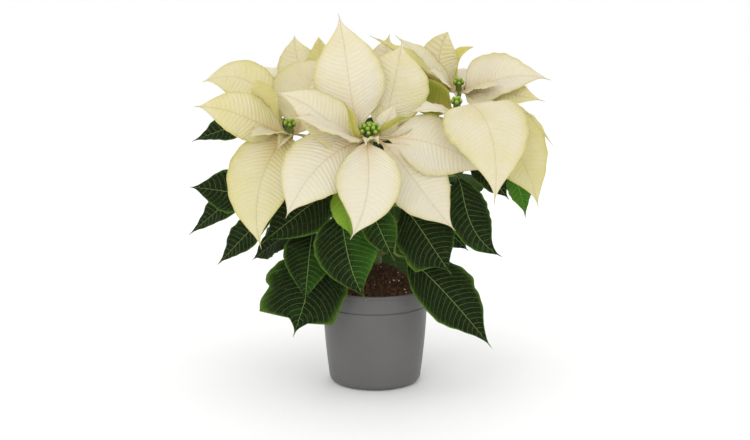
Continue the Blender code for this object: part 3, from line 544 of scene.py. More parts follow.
# The drawn-out tip: its width, the share of the blade that it narrows over, and what is left of it.
DRIP_WIDTH = 0.0020
DRIP_SHARE = 0.1
DRIP_END = 0.15
LOBE_SPREAD = 0.15


def half_widths(shape, share):
    """Half the blade's width at an array of shares of its length."""
    along = np.clip((share - STALK_SHARE) / (1 - STALK_SHARE), 0, 1)
    skew = math.log(0.5) / math.log(shape["broad"])
    power = shape["taper"] + shape["drip"] * along**4 + shape["foot"] * (1 - along) ** 4
    rounded = np.sin(math.pi * along**skew).clip(0, 1) ** power
    point = DRIP_WIDTH / 2 * np.minimum((1 - share) / DRIP_SHARE + DRIP_END, 1)
    least = np.where(along < 0.5, STALK_WIDTH / 2, point)
    return np.where(share < STALK_SHARE, STALK_WIDTH / 2, np.maximum(shape["width"] / 2 * rounded, least))


def lobe_push(shape, side, share):
    """How far pointed lobes push the margin out, as a share of the half width."""
    push = np.zeros_like(share)
    for place, size, lobe_side in shape["lobes"]:
        peak = size * np.clip(1 - np.abs(share - place) / LOBE_SPREAD, 0, 1)
        push = np.where(side * lobe_side > 0, np.maximum(push, peak), push)
    return push


# %% Midrib of a blade
MIDRIB_STEPS = np.linspace(0, 1, 65)


def unit(vectors):
    """Vectors scaled to length one."""
    return vectors / np.maximum(np.linalg.norm(vectors, axis=-1, keepdims=True), 1e-9)


def midrib_lengths(controls):
    """How long the midrib is up to each of its even steps."""
    line = bezier(*controls, MIDRIB_STEPS[:, None])
    return np.concatenate([[0], np.cumsum(np.linalg.norm(np.diff(line, axis=0), axis=1))])


def midrib_frame(controls, side, place):
    """Points of the midrib, and the ways across and out of the blade there."""
    ahead = bezier(*controls, np.minimum(place + 0.01, 1))
    tangent = unit(ahead - bezier(*controls, np.maximum(place - 0.01, 0)))
    across = unit(side - tangent * (tangent @ side)[..., None])
    return bezier(*controls, place), across, np.cross(across, tangent)


# %% Sheet of a blade
LOBE_REACH = 0.33
GROOVE_DEPTH = 0.0004
GROOVE_WIDTH = 0.0012
# Waves of the margin: how many on a blade, and a smaller set that is this much finer and lower.
RIPPLES = 2.5
SMALL_RIPPLES = 3.3
SMALL_SHARE = 0.4
MARGIN_NICKS = 9.0
# The waves and nicks start elsewhere on each blade, by its width, and on each half.
WAVE_START = 700
NICK_START = 900
HALF_START = 1.3
# Points crowd towards the midrib. Rows sweep to the tip by this share of the blade's width, bent like
# side veins, and less near the blade's base and tip.
CROWDING = 1.2
RAKE = 0.46
RAKE_BEND = 1.35
RAKE_GROWTH = 0.15
# The side veins of one half start this share of their spacing later than those of the other.
VEIN_SHIFT = 0.42
# Where the midrib lies on the flat map.
FLAT_MIDDLE = 0.1


def blade_sheet(shape, columns, rows):
    """The blade's middle surface as a grid of points, with the numbers that its material reads."""
    # u runs across the blade from -1 to 1, t along its rows from 0 to 1, and share along its midrib.
    places = np.linspace(-1, 1, 2 * columns + 1)
    u, t = np.meshgrid(np.sign(places) * np.abs(places) ** CROWDING, np.linspace(0, 1, rows + 1))
    edge = np.abs(u)
    controls, side = blade_frame(shape)
    controls, side = [np.array(point) for point in controls], np.array(side)
    lengths = midrib_lengths(controls)
    total = lengths[-1]
    sweep = edge**RAKE_BEND * np.minimum(t / RAKE_GROWTH, 1) * (1 - t)
    share = t + RAKE * shape["width"] / total * sweep
    push = lobe_push(shape, u, share) * edge**3
    nicks = np.sin(share * 2 * math.pi * MARGIN_NICKS + NICK_START * shape["width"] + u)
    half = half_widths(shape, share) * (1 + shape["ruffle"] * nicks * edge**4)
    share = np.minimum(share + LOBE_REACH * push, 1)
    place = np.interp(share * total, lengths, MIDRIB_STEPS)[..., None]
    here, across, normal = midrib_frame(controls, side, place)
    reach = half * edge * (1 + push)
    fold = math.radians(shape["fold"])
    arch = np.sin(math.pi * share)
    start = WAVE_START * shape["width"] + np.where(u > 0, HALF_START, 0.0)
    turns = share * 2 * math.pi * RIPPLES
    lift = reach * math.sin(fold) + shape["wave"] * np.sin(turns + start) * edge**2 * arch
    lift += SMALL_SHARE * shape["wave"] * np.sin(SMALL_RIPPLES * turns + 2 * start) * edge**3 * arch
    vein = t * shape["veins"] + np.where(u > 0, 0.0, VEIN_SHIFT)
    # The tissue puffs up halfway between two veins, and between the midrib and the margin.
    puff = (0.5 - 0.5 * np.cos(2 * math.pi * vein)) * np.sin(math.pi * edge**0.8) ** 0.7
    lift += shape["relief"] * puff * arch - GROOVE_DEPTH * np.exp(-(reach / GROOVE_WIDTH) ** 2)
    points = here + across * (np.sign(u) * reach * math.cos(fold))[..., None] + normal * lift[..., None]
    # Painted light and shade: one half of the blade is made lighter and the other darker, as if one half
    # faced the light.
    tone = shape["tone"] + shape["slant"] * u * arch
    values = dict(vein=vein, rib=reach * 1000, edge=edge, along=share, tone=tone)
    flat = np.stack([np.sign(u) * reach + FLAT_MIDDLE, share * total], axis=-1)
    return points, values, flat, normal


# %% Thickness and ridge of a blade
LEAF_THICKNESS = 0.0004
STALK_THICKNESS = 0.0018
STALK_FADE = 0.06
RIDGE_HEIGHT = 0.0009
RIDGE_WIDTH = 0.0011
RIDGE_START = 0.05


def blade_shell(shape, columns, rows):
    """Points, faces, values and flat map of a closed blade: the sheet with its thickness and ridge."""
    points, values, flat, outward = blade_sheet(shape, columns, rows)
    normal = unit(np.cross(np.gradient(points, axis=1), np.gradient(points, axis=0)))
    normal = np.where((normal * outward).sum(-1, keepdims=True) < 0, -normal, normal)
    share, reach = values["along"], values["rib"] / 1000
    thick = LEAF_THICKNESS + (STALK_THICKNESS - LEAF_THICKNESS) * np.exp(-(share / STALK_FADE) ** 2)
    ridge = RIDGE_HEIGHT * np.exp(-(reach / RIDGE_WIDTH) ** 2)
    ridge *= (1 - share) * np.minimum(share / RIDGE_START, 1)
    upper = points + normal * (thick / 2)[..., None]
    lower = points - normal * (thick / 2 + ridge)[..., None]
    total = share.size
    number = np.arange(total).reshape(share.shape)
    quads = np.stack([number[:-1, :-1], number[:-1, 1:], number[1:, 1:], number[1:, :-1]], -1)
    quads = quads.reshape(-1, 4)
    border = np.concatenate([number[0, :-1], number[:-1, -1], number[-1, :0:-1], number[:0:-1, 0]])
    after = np.roll(border, -1)
    rim = np.stack([after, border, border + total, after + total], -1)
    faces = np.concatenate([quads, quads[:, ::-1] + total, rim])
    both = {key: np.concatenate([value.ravel()] * 2) for key, value in values.items()}
    both["under"] = np.concatenate([np.zeros(total), np.ones(total)])
    flat = np.concatenate([flat.reshape(-1, 2)] * 2)
    return np.concatenate([upper.reshape(-1, 3), lower.reshape(-1, 3)]), faces, both, flat


# %% One mesh of many blades
def mesh_of_blades(name, shells):
    """One smooth mesh of many blades, with their values as attributes and their flat maps as UVs."""
    points = np.concatenate([shell[0] for shell in shells])
    starts = np.cumsum([0] + [len(shell[0]) for shell in shells[:-1]])
    faces = np.concatenate([shell[1] + start for shell, start in zip(shells, starts)])
    mesh = bpy.data.meshes.new(name)
    mesh.from_pydata(points.tolist(), [], faces.tolist())
    for key in shells[0][2]:
        values = np.concatenate([shell[2][key] for shell in shells]).astype(np.float32)
        mesh.attributes.new(key, "FLOAT", "POINT").data.foreach_set("value", values)
    corners = np.empty(len(mesh.loops), np.int32)
    mesh.loops.foreach_get("vertex_index", corners)
    flat = np.concatenate([shell[3] for shell in shells])[corners].astype(np.float32)
    mesh.uv_layers.new(name="blade").data.foreach_set("uv", flat.ravel())
    mesh.shade_smooth()
    return mesh


# %% [markdown]
# ## Bracts and leaves
# All bracts of a rosette are one piece, and so are a stem's leaves. A blade gets side veins by its
# length, and a tone: young bracts are yellower, and the tones of some blades also hold painted shade, for
# bracts in shade, and painted light, for leaves that catch it. Where its row gives no tone, one is drawn
# by chance, always the same. A large blade that is seen in full gets four rows for each vein.

# %% Bracts and leaves
random_tone = np.random.default_rng(11)
LEAST_VEINS = 6
# Columns of one half, and rows to a vein. A narrow blade has the same few rows whatever its veins.
FULL_GRID = (11, 4)
FAR_GRID = (8, 2)
NARROW = 0.030
NARROW_GRID = (5, 20)


def grow_blades(name, rows, tones):
    """One object with the fine blades of one stem and one kind."""
    shells = []
    for row in rows:
        shape = {"tone": random_tone.uniform(*tones), **row}
        shape["veins"] = max(LEAST_VEINS, round((row["tip"] - row["base"]).length / row["spacing"]))
        columns, rows_to_vein = FAR_GRID if shape["far"] else FULL_GRID
        along = rows_to_vein * shape["veins"]
        if shape["width"] < NARROW:
            columns, along = NARROW_GRID
        shells.append(blade_shell(shape, columns, along))
    return bpy.data.objects.new(name, mesh_of_blades(name, shells))


for stem in STEMS:
    rosette = grow_blades("rosette_" + stem.name, BRACTS[stem.name], (-0.1, 0.2))
    finish_piece(rosette, "bracts_" + stem.name, [bract_skin])
for stem in STEMS:
    leaves = grow_blades("leaves_" + stem.name, LEAVES[stem.name], (-0.3, -0.05))
    finish_piece(leaves, "leafy_stem_" + stem.name, [leaf_skin])

# %% [markdown]
# ## Geometry Nodes helpers
# Stalks follow paths, buds and crumbs repeat, so a node tree makes each of them. A tree gets named
# inputs for its sizes. The result is turned into a plain mesh, which is what the piece keeps.

# %% Geometry Nodes helpers
def new_geometry_tree(name, **inputs):
    """An empty geometry tree with named inputs, add_node bound to it, and its input sockets."""
    tree = bpy.data.node_groups.new(name, "GeometryNodeTree")
    for label, kind in dict(Geometry="Geometry", **inputs, Material="Material").items():
        tree.interface.new_socket(name=label, in_out="INPUT", socket_type="NodeSocket" + kind)
    tree.interface.new_socket(name="Geometry", in_out="OUTPUT", socket_type="NodeSocketGeometry")
    return tree, functools.partial(add_node, tree), tree.nodes.new("NodeGroupInput").outputs


def close_geometry_tree(add, geometry, material):
    """Ends a tree: instances made real, the material set, the result sent out."""
    real = add("GeometryNodeRealizeInstances", {"Geometry": geometry})
    painted = add("GeometryNodeSetMaterial", {"Geometry": real, "Material": material})
    add("NodeGroupOutput", {0: painted})


def plain_mesh(obj, name):
    """The object's mesh with its modifiers worked in, as a new object. The old one goes."""
    bpy.context.view_layer.update()
    graph = bpy.context.evaluated_depsgraph_get()
    mesh = bpy.data.meshes.new_from_object(obj.evaluated_get(graph))
    mesh.name = name
    for modifier in list(obj.modifiers):
        obj.modifiers.remove(modifier)
    bpy.data.objects.remove(obj)
    return bpy.data.objects.new(name, mesh)


def run_tree(name, host_mesh, tree, **inputs):
    """The tree's result on a host mesh, as an object with a plain mesh."""
    host = link_object(name + "_host", host_mesh)
    modifier = host.modifiers.new("Grow", "NODES")
    modifier.node_group = tree
    for socket in tree.interface.items_tree:
        if socket.in_out == "INPUT" and socket.name in inputs:
            modifier[socket.identifier] = inputs[socket.name]
    return plain_mesh(host, name)


# %% [markdown]
# ## Stalk material
# A young poinsettia stem is smooth and green with brown corky flecks low down. Leaf stalks are paler,
# yellow-green. The material tells them apart by the radius that each point of the mesh carries.

# %% Stalk material
def stalk_material():
    """Green bark that turns brown on thick stems and yellow-green on thin leaf stalks."""
    material, add = new_material("young_green_bark")
    place = add(COORDS, out="Object")
    radius = add(VALUE, attribute_name="thick_mm", out="Fac")
    # Corky flecks, about 2 mm long, stretched along the stem.
    stretched = add(MAPPING, {"Vector": place, "Scale": (1.0, 1.0, 0.35)})
    fleck = add(NOISE, {"Vector": stretched, "Scale": 520.0, "Detail": 4.0})
    cloud = add(NOISE, {"Vector": place, "Scale": 60.0, "Detail": 2.0})
    woody = add(MAP, {0: radius, 1: 1.6, 2: 4.3})
    mottle = add(MAP, {0: cloud, 1: 0.35, 2: 0.7})
    spots = add(MAP, {0: fleck, 1: 0.56, 2: 0.66})
    corky = add(MATH, {0: spots, 1: woody}, **TIMES)
    # The cup under the buds is the only part thicker than 5 mm. Its dark green is painted shade, for the gaps
    # between the buds.
    cup = add(MAP, {0: radius, 1: 4.7, 2: 5.2})
    colour = lay_colours(add, linear("#93A63E"), [
        (woody, 1.0, "#55602A"), (mottle, 0.5, "#4C6420"), (corky, 0.5, "#80704A"), (cup, 0.9, "#26360D")])
    bump = add(BUMP, {"Strength": 0.5, "Distance": 0.0005, "Height": fleck})
    skin = add(PRINCIPLED, {"Base Color": colour, "Roughness": 0.48, "IOR": 1.45, "Normal": bump})
    add(SURFACE, {"Surface": skin})
    return material


stalk_skin = stalk_material()

# %% [markdown]
# ## Stalks
# Branches and leaf stalks are round tubes that follow the same curves as in the solid model. The node
# tree turns each path of edges into a curve, reads its radius, sweeps a circle along it, and pushes
# the surface in and out a little so that it looks grown. The trunk is one more path, with a swelling
# at each fork.

# %% Stalk tree
def stalk_tree():
    """Paths with a thickness in, tubes with a slightly uneven skin out."""
    tree, add, given = new_geometry_tree("stalks_along_paths", Sides="Int", Unevenness="Float")
    radius = add("GeometryNodeInputNamedAttribute", {"Name": "thick_mm"}, data_type="FLOAT")
    in_metres = add(MATH, {0: radius, 1: 0.001}, **TIMES)
    path = add("GeometryNodeMeshToCurve", {"Mesh": given["Geometry"]})
    circle = add("GeometryNodeCurvePrimitiveCircle", {"Resolution": given["Sides"], "Radius": 1.0})
    tube = add("GeometryNodeCurveToMesh", {
        "Curve": path, "Profile Curve": circle, "Scale": in_metres, "Fill Caps": True})
    # Noise moves the skin in and out along its normals.
    lumps = add(NOISE, {"Scale": 140.0, "Detail": 2.0})
    centred = add(MATH, {0: lumps, 1: 0.5}, operation="SUBTRACT")
    sized = add(MATH, {0: centred, 1: given["Unevenness"]}, **TIMES)
    normal = add("GeometryNodeInputNormal")
    offset = add(VECTOR_MATH, {0: normal, "Scale": sized}, operation="SCALE")
    moved = add("GeometryNodeSetPosition", {"Geometry": tube, "Offset": offset})
    smooth = add("GeometryNodeSetShadeSmooth", {"Geometry": moved})
    close_geometry_tree(add, smooth, given["Material"])
    return tree


def paths_mesh(name, paths):
    """A mesh of bare edges, one chain for each path, with each point's thickness in millimetres."""
    points, edges, thick = [], [], []
    for path in paths:
        first = len(points)
        for place, radius in path:
            points.append(tuple(place))
            thick.append(radius * 1000)
        edges += [(number, number + 1) for number in range(first, len(points) - 1)]
    mesh = bpy.data.meshes.new(name)
    mesh.from_pydata(points, edges, [])
    mesh.attributes.new("thick_mm", "FLOAT", "POINT").data.foreach_set("value", thick)
    return mesh


STALK_TREE = stalk_tree()

# %% Branches and leaf stalks
BRANCH_RADIUS = 0.0031
BRANCH_STEPS = 28
BRANCH_COLLAR = 0.0003
BRANCH_ROOT = 0.002
RECEPTACLE_RADIUS = 0.0036
PETIOLE_RADIUS = 0.0014
PETIOLE_STEPS = 12
PETIOLE_SWELL = 0.0007
SWELL_REACH = 0.004
# The petiole's curve: how steeply it starts, its two handles as shares of its length, and the place
# on the midrib that it heads for.
PETIOLE_LIFT = Vector((0, 0, 0.5))
FIRST_HANDLE = 0.35
LAST_HANDLE = 0.3
PETIOLE_AIM = 0.02
# The petiole's end in the midrib: how far along the blade, and what share of its radius is left.
PETIOLE_END = ((0.05, 0.8), (0.10, 0.45))
HEAD_LEAN = 25
HEAD_TURN = Matrix.Rotation(math.radians(HEAD_LEAN), 3, "X")
HEAD_UP = HEAD_TURN @ Vector((0, 0, 1))
# The cup round the buds' feet: heights above the receptacle, and shares of the cluster's radius.
CUP = ((0.0016, 0.66), (0.0034, 0.84), (0.0046, 0.76), (0.0054, 0.45))


def branch_path(stem):
    """The branch from inside the trunk up to just under the buds, a little thicker at both ends."""
    thick = BRANCH_RADIUS + BRANCH_COLLAR
    path = [(stem.fork + stem.leave * BRANCH_ROOT, thick), (stem.start, thick)]
    path += [(stem.point(step / BRANCH_STEPS), BRANCH_RADIUS) for step in range(1, BRANCH_STEPS + 1)]
    path += [(stem.end, RECEPTACLE_RADIUS), (stem.bud_floor, RECEPTACLE_RADIUS)]
    return path + [(stem.bud_floor + HEAD_UP * height, share * stem.bud_radius) for height, share in CUP]


def petiole_path(stem, shape):
    """The leaf stalk, slightly swollen where it leaves the branch and flattened into the midrib."""
    root, base = stem.point(shape["at"]), shape["base"]
    controls, _ = blade_frame(shape)
    level = Vector((base.x - root.x, base.y - root.y, 0)).normalized()
    reach = (base - root).length
    first = root + (level + PETIOLE_LIFT) * FIRST_HANDLE * reach
    last = base - (bezier(*controls, PETIOLE_AIM) - base).normalized() * LAST_HANDLE * reach
    path = []
    for step in range(PETIOLE_STEPS + 1):
        share = step / PETIOLE_STEPS
        swell = PETIOLE_SWELL * math.exp(-(share * reach / SWELL_REACH) ** 2)
        path.append((bezier(root, first, last, base, share), PETIOLE_RADIUS + swell))
    return path + [(bezier(*controls, share), PETIOLE_RADIUS * left) for share, left in PETIOLE_END]


for stem in STEMS:
    paths = [branch_path(stem)] + [petiole_path(stem, shape) for shape in LEAVES[stem.name]]
    stalks = run_tree("stalks_" + stem.name, paths_mesh("paths", paths), STALK_TREE,
                      Sides=12, Unevenness=0.0005, Material=stalk_skin)
    finish_piece(stalks, "leafy_stem_" + stem.name)

# %% Trunk
# The trunk swells where a stem forks off, and is a little thinner between.
TRUNK_RADIUS = 0.0045
TRUNK_STEPS = 40
TRUNK_WAIST = 0.0002
KNOT_SWELL = 0.0003
KNOT_REACH = 0.004
trunk_path = []
for step in range(TRUNK_STEPS + 1):
    place = TRUNK_FOOT.lerp(TRUNK_TOP, step / TRUNK_STEPS)
    knot = sum(math.exp(-((place.z - stem.fork.z) / KNOT_REACH) ** 2) for stem in STEMS)
    trunk_path.append((place, TRUNK_RADIUS - TRUNK_WAIST + KNOT_SWELL * min(knot, 1)))
stubs = [[(stem.fork, BRANCH_RADIUS + 2 * BRANCH_COLLAR),
          (stem.fork + stem.leave * STUB_LENGTH, BRANCH_RADIUS + BRANCH_COLLAR)] for stem in STEMS]
trunk = run_tree("trunk", paths_mesh("paths", [trunk_path] + stubs), STALK_TREE,
                 Sides=20, Unevenness=0.0009, Material=stalk_skin)
finish_piece(trunk, "main_stem")

# %% [markdown]
# ## Buds
# The green beads in the middle of a rosette are cyathia, the plant's real flowers, still closed. Each
# is a small egg with a slightly dented top, painted paler at the top, partly as a highlight, and dark at
# the foot as shade. A node tree sets one egg on every point of a small host mesh, turns and sizes each
# by chance with a fixed seed, and makes them real.

# %% Bud material
def bud_material():
    """Smooth living green, paler and yellower at the top of each bud, partly its own colour and partly a
    painted highlight, with painted shade at its foot.
    """
    material, add = new_material("green_cyathium_skin")
    height = add(VALUE, attribute_name="bud_height", out="Fac")
    place = add(COORDS, out="Object")
    cloud = add(NOISE, {"Vector": place, "Scale": 260.0, "Detail": 2.0})
    # Painted shade: each bud's foot is made dark, as the shade in the gaps between the buds. The paler top is
    # partly the bud's own colour and partly a painted highlight.
    foot = add(MAP, {0: height, 1: 0.1, 2: 0.55, 3: 1.0, 4: 0.0})
    top = add(MAP, {0: height, 1: 0.55, 2: 0.98})
    colour = lay_colours(add, linear("#527C12"), [
        (cloud, 0.6, "#6E921E"), (foot, 0.95, "#152806"), (top, 0.75, "#B4C656")])
    skin = add(PRINCIPLED, {"Base Color": colour, "Roughness": 0.38, "IOR": 1.45,
                            "Specular IOR Level": 0.35})
    add(SURFACE, {"Surface": skin})
    return material


bud_skin = bud_material()

# %% Bud tree
def bud_tree():
    """Points in, an egg with a dented top on each out."""
    tree, add, given = new_geometry_tree("buds_on_points", Radius="Float", Stretch="Float", Seed="Int")
    ball = add("GeometryNodeMeshUVSphere", {"Segments": 16, "Rings": 12, "Radius": 1.0})
    level = add("ShaderNodeSeparateXYZ", {0: add("GeometryNodeInputPosition")}, out="Z")
    height = add(MAP, {0: level, 1: -1.0, 2: 1.0})
    marked = add("GeometryNodeStoreNamedAttribute", {"Geometry": ball, "Name": "bud_height", "Value": height},
                 data_type="FLOAT", domain="POINT")
    # The dent: the top is pulled down where it is nearest the axis.
    dent = add(MAP, {0: level, 1: 0.88, 2: 1.0, 3: 0.0, 4: -0.28})
    down = add(COMBINE, {"Z": dent})
    dented = add("GeometryNodeSetPosition", {"Geometry": marked, "Offset": down})
    tall = add(MATH, {0: given["Radius"], 1: given["Stretch"]}, **TIMES)
    size = add(COMBINE, {"X": given["Radius"], "Y": given["Radius"], "Z": tall})
    luck = add(RANDOM, {2: 0.86, 3: 1.06, "Seed": given["Seed"]}, data_type="FLOAT", out=1)
    scaled = add(VECTOR_MATH, {0: size, "Scale": luck}, operation="SCALE")
    # Each bud leans away from the middle of its cluster, by a vector that its point carries.
    lean = add("GeometryNodeInputNamedAttribute", {"Name": "lean"}, data_type="FLOAT_VECTOR")
    rotation = add("FunctionNodeAlignRotationToVector", {"Vector": lean}, axis="Z")
    placed = add("GeometryNodeInstanceOnPoints", {
        "Points": given["Geometry"], "Instance": dented, "Rotation": rotation, "Scale": scaled})
    smooth = add("GeometryNodeSetShadeSmooth", {"Geometry": placed})
    close_geometry_tree(add, smooth, given["Material"])
    return tree


BUD_TREE = bud_tree()

# %% Buds
BUD_RADIUS = 0.002576
BUD_STRETCH = 1.56
CLUSTER_ROOT = 0.010
# Each ring is how many, how far out as a share of the cluster's radius, and how high.
LARGE_CLUSTER = 0.008
LARGE_RINGS = ((1, 0.0, 0.0072), (5, 0.46, 0.0062), (8, 0.88, 0.0042))
SMALL_RINGS = ((1, 0.0, 0.0066), (5, 0.75, 0.0046))


def bud_places(stem):
    """Where a cluster's buds sit: one in the middle and a ring or two round it, leaning to the front."""
    places = []
    for count, share, height in SMALL_RINGS if stem.bud_radius < LARGE_CLUSTER else LARGE_RINGS:
        reach = share * stem.bud_radius
        for index in range(count):
            turn = 2 * math.pi * (index + share) / count
            step = Vector((reach * math.cos(turn), reach * math.sin(turn), height))
            places.append(stem.bud_floor + HEAD_TURN @ step)
    return places


for number, stem in enumerate(STEMS):
    places = bud_places(stem)
    host = bpy.data.meshes.new("bud_places")
    host.from_pydata([tuple(place) for place in places], [], [])
    root = stem.bud_floor - HEAD_UP * CLUSTER_ROOT
    directions = [tuple((place - root).normalized()) for place in places]
    host.attributes.new("lean", "FLOAT_VECTOR", "POINT").data.foreach_set("vector", np.ravel(directions))
    buds = run_tree("buds_" + stem.name, host, BUD_TREE,
                    Radius=BUD_RADIUS, Stretch=BUD_STRETCH, Seed=number + 5, Material=bud_skin)
    finish_piece(buds, "cyathia_" + stem.name)

# %% [markdown]
# ## Pot
# A nursery pot is moulded from polypropylene: a thin wall with a rolled lip, a collar band that
# stops pots from jamming when they are stacked, and a sharp shoulder under it. It is turned here from
# one profile with the Screw modifier, with 160 steps and small roundings at each edge, and its drain
# holes are cut with a Boolean.

# %% Pot material
def pot_material():
    """Moulded grey polypropylene: satin, very slightly uneven, with faint rubs."""
    material, add = new_material("grey_polypropylene")
    place = add(COORDS, out="Object")
    cloud = add(NOISE, {"Vector": place, "Scale": 22.0, "Detail": 3.0})
    colour = lay_colours(add, linear("#5E5D5C"), [(cloud, 1.0, "#6A6968")])
    # The mould's fine spark texture, about 0.4 mm.
    grain = add(NOISE, {"Vector": place, "Scale": 2400.0, "Detail": 2.0})
    bump = add(BUMP, {"Strength": 0.12, "Distance": 0.0002, "Height": grain})
    # Rubs run round the wall, so their pattern is squeezed along the height.
    squeezed = add(MAPPING, {"Vector": place, "Scale": (1.0, 1.0, 14.0)})
    rubs = add(NOISE, {"Vector": squeezed, "Scale": 60.0, "Detail": 5.0})
    rough = add(MAP, {0: rubs, 1: 0.3, 2: 0.75, 3: 0.36, 4: 0.5})
    skin = add(PRINCIPLED, {"Base Color": colour, "Roughness": rough, "IOR": 1.49,
                            "Specular IOR Level": 0.22, "Normal": bump})
    add(SURFACE, {"Surface": skin})
    return material


pot_skin = pot_material()

# %% Pot profile
POT_HEIGHT = 0.112
POT_RIM_RADIUS = 0.061
POT_WALL_TOP = 0.0602
POT_WALL_LOW = 0.0530
POT_BASE_RADIUS = 0.0450
POT_WALL = 0.0015
POT_FLOOR = 0.0025
POT_LIP_HEIGHT = 0.0035
POT_COLLAR_HEIGHT = 0.020
POT_GROOVE = 0.0012
POT_BASE_ROUNDING = 0.008
POT_BOW = 0.0010
LEDGE = POT_HEIGHT - POT_COLLAR_HEIGHT
LIP = POT_HEIGHT - POT_LIP_HEIGHT
LIP_ROUNDING = 0.0013
LIP_UNDERSIDE = 0.0006
COLLAR_ROUNDING = 0.0005
WALL_STEPS = 12
# The smooth wall ends under the groove.
WALL_END = LEDGE - 0.004
GROOVE_END = LEDGE - 0.0016


def wall_radius(height):
    """The pot's outer radius below its collar: a straight taper, bowed out a little."""
    share = (height - POT_BASE_ROUNDING) / (LEDGE - POT_BASE_ROUNDING)
    return POT_WALL_LOW + (POT_WALL_TOP - POT_WALL_LOW) * share + POT_BOW * math.sin(math.pi * share)


def arc(centre, radius, first, last, steps):
    """Points of an arc from one angle to another, in degrees."""
    turns = [math.radians(first + (last - first) * step / steps) for step in range(steps + 1)]
    return [(centre[0] + radius * math.cos(turn), centre[1] + radius * math.sin(turn)) for turn in turns]


def from_lip(inward, up):
    """A point by how far it is in from the rim and up from the lip's lower edge."""
    return (POT_RIM_RADIUS - inward, LIP + up)


def from_ledge(inward, up):
    """A point by how far it is in from the wall's top and up from the collar's lower edge."""
    return (POT_WALL_TOP - inward, LEDGE + up)


def pot_profile():
    """The half section, from the middle of the floor inside, over the lip, to the middle underneath."""
    wall_height = WALL_END - POT_BASE_ROUNDING
    heights = [POT_BASE_ROUNDING + wall_height * step / WALL_STEPS for step in range(WALL_STEPS + 1)]
    inside = [(0, POT_FLOOR), (POT_BASE_RADIUS - POT_WALL, POT_FLOOR)]
    inside += [(wall_radius(height) - POT_WALL, height) for height in heights]
    inside += [from_ledge(0.0004 + POT_WALL, 0.002), from_lip(0.0027, 0)]
    over = arc((POT_RIM_RADIUS - LIP_ROUNDING, POT_HEIGHT - LIP_ROUNDING), LIP_ROUNDING, 180, 0, 10)
    outside = [from_lip(0, 0.0006)] + arc(from_lip(LIP_UNDERSIDE, 0.0004), LIP_UNDERSIDE, 0, -80, 4)
    outside += [from_lip(0.0011, -0.0006), from_ledge(-0.0001, 0.0016)]
    outside += arc(from_ledge(COLLAR_ROUNDING, 0.001), COLLAR_ROUNDING, 0, -90, 4)
    # The groove under the collar, then down the wall and round to the base.
    outside += [from_ledge(POT_GROOVE, 0.0004), from_ledge(POT_GROOVE, -0.0006)]
    outside += [(wall_radius(height), height) for height in [GROOVE_END] + heights[::-1]]
    for x, y in arc((0, 0), 1, 0, 90, 8)[1:]:
        outside.append((POT_BASE_RADIUS + (POT_WALL_LOW - POT_BASE_RADIUS) * x, POT_BASE_ROUNDING * (1 - y)))
    return inside + over + outside + [(0, 0)]


def spin_profile(name, profile, steps):
    """A profile on the +X side turned round the Z axis, as a closed mesh with its normals outwards."""
    mesh = bpy.data.meshes.new(name)
    edges = [(step, step + 1) for step in range(len(profile) - 1)]
    mesh.from_pydata([(x, 0, z) for x, z in profile], edges, [])
    host = link_object(name, mesh)
    turn = host.modifiers.new("Turn", "SCREW")
    turn.steps = turn.render_steps = steps
    turn.use_merge_vertices = True
    turn.merge_threshold = 0.00001
    return host


# %% Pot
POT_SIDES = 160
DRAIN_HOLES = 6
DRAIN_HOLE_RADIUS = 0.0045
DRAIN_CIRCLE_RADIUS = 0.027
HOLE_SIDES = 24
CUT_OVER = 0.002
SHARP_EDGE = 40
points, faces = [], []
for index in range(DRAIN_HOLES):
    turn = 2 * math.pi * (index + 0.5) / DRAIN_HOLES
    centre = (DRAIN_CIRCLE_RADIUS * math.cos(turn), DRAIN_CIRCLE_RADIUS * math.sin(turn))
    circle = arc(centre, DRAIN_HOLE_RADIUS, 0, 360, HOLE_SIDES)[:-1]
    low = list(range(len(points), len(points) + HOLE_SIDES))
    high = [number + HOLE_SIDES for number in low]
    points += [(x, y, z) for z in (-CUT_OVER, POT_FLOOR + CUT_OVER) for x, y in circle]
    faces += [[low[side - 1], low[side], high[side], high[side - 1]] for side in range(HOLE_SIDES)]
    faces += [low[::-1], high]
cutter_mesh = bpy.data.meshes.new("drain_cutters")
cutter_mesh.from_pydata(points, [], faces)
cutters = link_object("drain_cutters", cutter_mesh)
pot = spin_profile("nursery_pot", pot_profile(), POT_SIDES)
cut = pot.modifiers.new("Drain", "BOOLEAN")
cut.operation = "DIFFERENCE"
cut.object = cutters
cut.solver = "EXACT"
pot = plain_mesh(pot, "nursery_pot")
bpy.data.objects.remove(cutters)
pot.data.shade_smooth()
pot.data.set_sharp_from_angle(angle=math.radians(SHARP_EDGE))
finish_piece(pot, "pot", [pot_skin])

# %% [markdown]
# ## Soil
# Potting soil is peat: dark brown crumbs and fibres, with a few rust-red bits and white grains of
# perlite. The heap is a turned mesh made lumpy. Then a node tree scatters crumbs over its top: each
# is a rough ball of few faces, sized and turned by chance with a fixed seed.

# %% Soil material
def soil_material(name, dark, light):
    """Damp peat, or another grain: each crumb has its own shade between two colours."""
    material, add = new_material(name)
    place = add(COORDS, out="Object")
    shade = add(VALUE, attribute_name="shade", out="Fac")
    # Grit of about 1 mm.
    grit = add(NOISE, {"Vector": place, "Scale": 900.0, "Detail": 4.0, "Roughness": 0.7})
    share = add(MATH, {0: grit, 1: shade}, **TIMES)
    share = add(MAP, {0: share, 1: 0.1, 2: 0.6})
    colour = lay_colours(add, linear(dark), [(share, 1.0, light)])
    bump = add(BUMP, {"Strength": 0.8, "Distance": 0.001, "Height": grit})
    skin = add(PRINCIPLED, {"Base Color": colour, "Roughness": 0.9, "IOR": 1.45, "Normal": bump})
    add(SURFACE, {"Surface": skin})
    return material


peat = soil_material("damp_peat", "#140B05", "#5E3D21")
perlite = soil_material("white_perlite", "#8F826A", "#DCD2BC")

